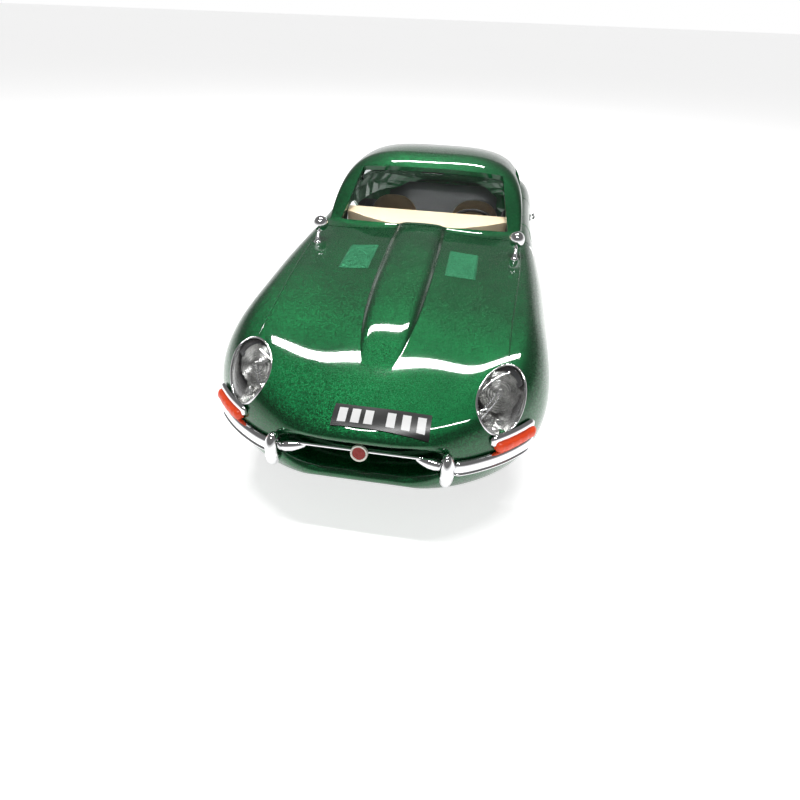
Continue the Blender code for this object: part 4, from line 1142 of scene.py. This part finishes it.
# ---------------------------------------------------------------- wheels
def make_tyre(end, side, body):
    low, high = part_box(f"tyre_{end}_{side}")
    centre, half = (low + high) / 2, (high.x - low.x) / 2
    radius = (high.z - low.z) / 2
    rim = RIM_RADIUS + FIT
    profile = [
        (-half + 0.0004, rim), (-half + 0.0001, rim + 0.0016), (-half, radius - 0.0034),
        (-half + 0.0003, radius - 0.0016), (-half + 0.0012, radius - 0.0005),
    ]
    bands = 5
    wide = (2 * half - 0.0036) / bands
    for k in range(bands):
        at = -half + 0.0018 + k * wide
        profile += [
            (at, radius), (at + wide * 0.72, radius),
            (at + wide * 0.76, radius - 0.00045), (at + wide * 0.96, radius - 0.00045),
        ]
    profile += [
        (half - 0.0012, radius - 0.0005), (half - 0.0003, radius - 0.0016), (half, radius - 0.0034),
        (half - 0.0003, radius - 0.0042), (half - 0.00005, radius - 0.0046),
        (half - 0.0002, rim + 0.0014), (half - 0.0004, rim),
    ]
    axis = (1 if side == "left" else -1, 0, 0)
    tyre = turned(f"tyre_rubber_{end}_{side}", centre, axis, profile, 96, ring=True)
    piece(tyre, TYRE, body, "tyre", f"tyre_{end}_{side}", crease=25)


def make_rim(end, side, body):
    """A hoop, a hub with its two-eared spinner, and two layers of crossed wires."""
    low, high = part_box(f"tyre_{end}_{side}")
    centre, half = (low + high) / 2, (high.x - low.x) / 2
    axis = Vector((1 if side == "left" else -1, 0, 0))
    edge = RIM_RADIUS
    hoop = turned("hoop", centre, axis, [
        (-half + 0.0004, edge), (half - 0.0004, edge), (half - 0.00015, edge - 0.0003),
        (half - 0.0002, edge - 0.0010), (half - 0.0012, edge - 0.0012), (half - 0.0022, edge - 0.0019),
        (0.0, edge - 0.0021), (-half + 0.0022, edge - 0.0019), (-half + 0.0012, edge - 0.0012),
        (-half + 0.0002, edge - 0.0008),
    ], 72, ring=True)
    hub = turned("hub", centre, axis, [
        (-half + 0.0012, 0.0026), (-0.0008, 0.0028), (0.0, 0.0024), (half - 0.0026, 0.0019),
        (half - 0.0016, 0.0018), (half - 0.0012, 0.0014), (half - 0.0006, 0.0009),
        (half - 0.0005, 0.0001),
    ], 40)
    parts = [hoop, hub]
    for angle in (0.5, 0.5 + math.pi):
        ear = prism("ear", [
            centre + axis * (half - 0.0016) + Vector((0, y, z))
            for y, z in ((-0.0006, 0), (0.0006, 0), (0.0003, 0.0033), (-0.0003, 0.0033))
        ], axis * 0.0007)
        turn = Matrix.Rotation(angle, 4, "X")
        ear.data.transform(Matrix.Translation(centre) @ turn @ Matrix.Translation(-centre))
        parts.append(ear)
    for shift, at_hub, at_rim in ((0.0, half - 0.0028, 0.0004), (0.5, -0.0004, half - 0.0034)):
        for k in range(SPOKES):
            a = math.tau * (k + shift) / SPOKES
            b = a + (0.34 if k % 2 else -0.34)
            inner = Vector((0, math.cos(a), math.sin(a))) * 0.0018
            outer = Vector((0, math.cos(b), math.sin(b))) * (edge - 0.0018)
            wire = [centre + axis * at_hub + inner, centre + axis * at_rim + outer]
            parts.append(tube("spoke", wire, 0.00014, 5))
    piece(joined(f"wire_wheel_{end}_{side}", parts), CHROME, body, "chrome",
          f"rim_{end}_{side}", crease=40)


# ---------------------------------------------------------------- cabin
def cushion(name, centre, half, tilt, power=3.2):
    """A moulded pad with rounded edges and pressed pleats across its face."""
    grid = []
    for k in range(19):
        w = -1 + 2 * k / 18
        size = max(0.04, 1 - abs(w) ** power) ** (1 / power)
        ring = []
        for i in range(72):
            a = math.tau * i / 72
            c, s = math.cos(a), math.sin(a)
            u = math.copysign(abs(c) ** (2 / power), c) * size
            v = math.copysign(abs(s) ** (2 / power), s) * size
            press = 0.0
            if w > 0.3 and abs(v) < 0.8:
                press = 0.05 * (abs(math.sin(u * PLEATS * math.pi / 2)) ** 0.4 - 1)
            ring.append(Vector((u * half[0], v * half[1], (w + press) * half[2])))
        grid.append(ring)
    made = loft(name, grid)
    made.data.transform(Matrix.Translation(centre) @ Matrix.Rotation(tilt, 4, "X"))
    return made


def make_seats():
    for side, name in ((1, "left"), (-1, "right")):
        x = side * 325
        base = cushion(
            "base", place(x, 2600, 350), (195 * SCALE.x, 225 * SCALE.y, 0.0032), math.radians(3))
        back = cushion(
            "back", place(x, 2850, 610), (194 * SCALE.x, 0.0132, 0.0026), math.radians(101), 2.5)
        piece(joined(f"seat_pads_{name}", [base, back]), TAN, "body", "tan_plastic", f"seat_{name}",
              crease=50)


def make_gauges():
    """Two large dials before the driver and four small ones in the middle."""
    dials = [(250, 790, 0.0021), (400, 790, 0.0021)]
    dials += [(x, 800, 0.0012) for x in (-40, 40, -120, 120)]
    for k, (x, z, radius) in enumerate(dials):
        spot = place(x, 2262, z)
        inner = radius - 0.0003
        ring = turned(f"gauge_ring_{k}", spot, (0, 1, 0), [
            (-0.0002, radius), (0.0004, radius), (0.0006, radius - 0.0001), (0.0006, inner),
            (-0.0002, inner),
        ], 28, ring=True)
        piece(ring, CHROME, "body", "cream_plastic")
        face = turned(f"gauge_face_{k}", spot, (0, 1, 0), [
            (-0.0002, inner), (0.0003, inner), (0.0004, radius * 0.3), (0.0004, 0.0001),
        ], 28)
        piece(face, GAUGE, "body", "black_plastic")


def make_steering_wheel():
    hub = place(325, 2372, 742)
    axis = Vector((0, 0.93, 0.36)).normalized()
    across = Vector((1, 0, 0))
    down = axis.cross(across)
    rim = [
        hub + (across * math.cos(a) + down * math.sin(a)) * 0.0098
        for a in np.arange(72) * math.tau / 72
    ]
    piece(tube("steering_rim", rim, 0.00062, 12, closed=True), BLACK_PLASTIC, "steering_wheel",
          "wood", "steering_wheel", crease=80)
    parts = [turned("boss", hub - axis * 0.0007, axis, [
        (0, 0.0013), (0.0009, 0.0016), (0.0013, 0.0013), (0.0014, 0.0004),
    ], 28)]
    widths = ((0.0008, 0.0013), (0.004, 0.0009), (0.0094, 0.0006))
    for angle in (0, math.pi, -math.pi / 2):
        spoke = across * math.cos(angle) - down * math.sin(angle)
        side = axis.cross(spoke)
        outline = [hub + spoke * u + side * wide - axis * 0.0001 for u, wide in widths]
        outline += [hub + spoke * u - side * wide - axis * 0.0001 for u, wide in widths[::-1]]
        parts.append(prism("spoke", outline, axis * 0.0003))
    piece(joined("steering_spokes", parts), POLISHED, "steering_wheel", "wood")


def make_door_levers():
    for side, name in ((1, "left"), (-1, "right")):
        low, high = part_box(f"door_handle_{name}")
        middle = (low + high) / 2
        bow = side * 0.0003
        lever = tube("lever", [
            (middle.x + shift, y, middle.z) for shift, y in (
                (-side * 0.0002, low.y), (bow, low.y + 0.0008), (bow, high.y - 0.0022),
                (0, high.y - 0.0014),
            )
        ], 0.00045, 12)
        seat = (middle.x - side * 0.0005, high.y - 0.0008, middle.z)
        button = turned("button", seat, (side, 0, 0), [
            (0, 0.0007), (0.0006, 0.0007), (0.0008, 0.0005), (0.0009, 0.0001),
        ], 20)
        piece(joined(f"door_lever_{name}", [lever, button]), CHROME, f"door_{name}", "chrome",
              f"door_handle_{name}", crease=50)


# ---------------------------------------------------------------- CAD nodes that stay
def dress_nodes():
    """Materials for every CAD node, and softer edges on those that show."""
    looks = {
        "black_metal": BLACK_METAL, "steel": STEEL, "black_plastic": BLACK_PLASTIC,
        "cream_plastic": CREAM, "tan_plastic": TAN, "chrome": CHROME, "engine_grey": ENGINE,
        "polished": POLISHED, "wood": WOOD, "clear": GLASS_CLEAR, "red_plastic": RED,
        "orange_plastic": ORANGE, "plate_black": PLATE, "tyre": TYRE, "green_paint": PAINT,
    }
    slot_of = {row["node"]: row["material_slot"] for row in frame["record"]["subparts"]}
    for name, made in frame["nodes"].items():
        made.data.materials.clear()
        made.data.materials.append(looks[slot_of[name]])
        if made.hide_render:
            continue
        soft = made.modifiers.new("edges", "BEVEL")
        soft.width, soft.segments = (0.0006, 4) if name == "dashboard" else (0.00018, 2)
        soft.limit_method = "ANGLE"
        soft.angle_limit = math.radians(35)
        soft.harden_normals = False
        soft.use_clamp_overlap = True


def make_engine_trim():
    """Ribs on the cam covers and fins on the radiator."""
    for name in ("left", "right"):
        low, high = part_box(f"cam_cover_{name}")
        parts = []
        top = high.z - 0.00005
        for share in (0.3, 0.5, 0.7):
            x = low.x + (high.x - low.x) * share
            line = [(x, low.y + 0.0012, top), (x, high.y - 0.0012, top)]
            parts.append(tube("rib", line, 0.00018, 8))
        nuts = 6
        for k in range(nuts):
            y = low.y + (high.y - low.y) * (k + 0.5) / nuts
            for x in (low.x + 0.0005, high.x - 0.0005):
                foot = (x, y, high.z - 0.0014)
                outline = [(0, 0.0005), (0.0007, 0.0005), (0.0009, 0.0003)]
                parts.append(turned("nut", foot, (0, 0, 1), outline, 6))
        piece(joined(f"cam_cover_trim_{name}", parts), POLISHED, "body", "polished", crease=30)
    low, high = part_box("radiator")
    fins = [
        block("fin", (low.x + 0.0012, low.y + 0.0002, z), (high.x - 0.0012, low.y + 0.0006, z + 0.0002))
        for z in np.arange(low.z + 0.0015, high.z - 0.003, 0.00065)
    ]
    piece(joined("radiator_fins", fins), BLACK_METAL, "body", "black_plastic")


make_painted()
make_bonnet_lugs()
make_louvres()
make_seams()
make_glass()
make_lamp_cover()
make_lamps()
make_trim()
make_plates()
make_mirrors()
for side_name in ("left", "right"):
    for end_name, body_name in (("front", f"wheel_front_{side_name}"), ("rear", "rear_wheels")):
        make_tyre(end_name, side_name, body_name)
        make_rim(end_name, side_name, body_name)
make_seats()
make_gauges()
make_steering_wheel()
make_door_levers()
make_engine_trim()
dress_nodes()
bpy.data.objects.remove(guide)


# ---------------------------------------------------------------- stage, lights and camera
def make_stage():
    """A round pale floor that reaches the horizon and glows a little, so that it stays even."""
    points = [(0.0, 0.0, 0.0)]
    sides = 64
    for radius in (0.6, 3.0, 30.0):
        points += [
            (radius * math.cos(math.tau * i / sides), radius * math.sin(math.tau * i / sides), 0)
            for i in range(sides)
        ]
    faces = [(0, 1 + i, 1 + (i + 1) % sides) for i in range(sides)]
    for row in range(2):
        a = 1 + row * sides
        faces += [
            (a + i, a + sides + i, a + sides + (i + 1) % sides, a + (i + 1) % sides)
            for i in range(sides)
        ]
    floor = new_object("floor", points, faces)
    floor.data.materials.append(surface(
        "floor_paper", (0.86,) * 3, (0.9,) * 3, (0.75, 0.85), 2.0, 0.02,
        Emission_Color=(1, 1, 1, 1), Emission_Strength=0.70,
    ))


def add_light(name, where, towards, size, power):
    data = bpy.data.lights.new(name, "AREA")
    data.shape = "RECTANGLE"
    data.size, data.size_y = size
    data.energy = power
    made = linked(name, data)
    made.location = where
    made.rotation_mode = "QUATERNION"
    made.rotation_quaternion = (Vector(towards) - Vector(where)).to_track_quat("-Z", "Y")


def make_lights():
    """A sky that is white at the horizon and darker above, and two long strip lights."""
    world = bpy.data.worlds.new("studio")
    bpy.context.scene.world = world
    world.use_nodes = True
    tree = world.node_tree
    where = add_node(tree, "ShaderNodeTexCoord")
    height = add_node(tree, "ShaderNodeSeparateXYZ", {"Vector": where.outputs["Generated"]})
    sky = add_node(tree, "ShaderNodeValToRGB", {"Fac": height.outputs["Z"]})
    for stop, (at, grey) in zip(sky.color_ramp.elements, ((0.03, 1.0), (0.34, SKY_ABOVE))):
        stop.position = at
        stop.color = (grey, grey, grey, 1)
    tree.links.new(sky.outputs["Color"], tree.nodes["Background"].inputs["Color"])
    tree.nodes["Background"].inputs["Strength"].default_value = 1.0
    add_light("strip_front", (0.0, -0.16, 0.62), (0, -0.08, 0), (0.34, 0.022), 1.9)
    add_light("strip_back", (-0.04, 0.30, 0.60), (0, 0, 0.03), (0.31, 0.026), 2.2)


def make_camera():
    azimuth, elevation, roll = (math.radians(v) for v in (7.81, 34.96, 2.25))
    back = Vector((
        math.sin(azimuth) * math.cos(elevation), -math.cos(azimuth) * math.cos(elevation),
        math.sin(elevation),
    ))
    right = (-back).cross(Vector((0, 0, 1))).normalized()
    up = right.cross(-back)
    turn_x = right * math.cos(roll) + up * math.sin(roll)
    turn_y = up * math.cos(roll) - right * math.sin(roll)
    data = bpy.data.cameras.new("camera")
    data.sensor_width = 36.0
    data.lens = 24.76
    data.clip_start = 0.005
    camera = linked("camera", data)
    camera.matrix_world = Matrix.Translation((0.022288, -0.215759, 0.112795)) @ Matrix((
        turn_x, turn_y, back)).transposed().to_4x4()
    bpy.context.scene.camera = camera


make_stage()
make_lights()
make_camera()
bpy.context.scene.view_settings.view_transform = "Standard"
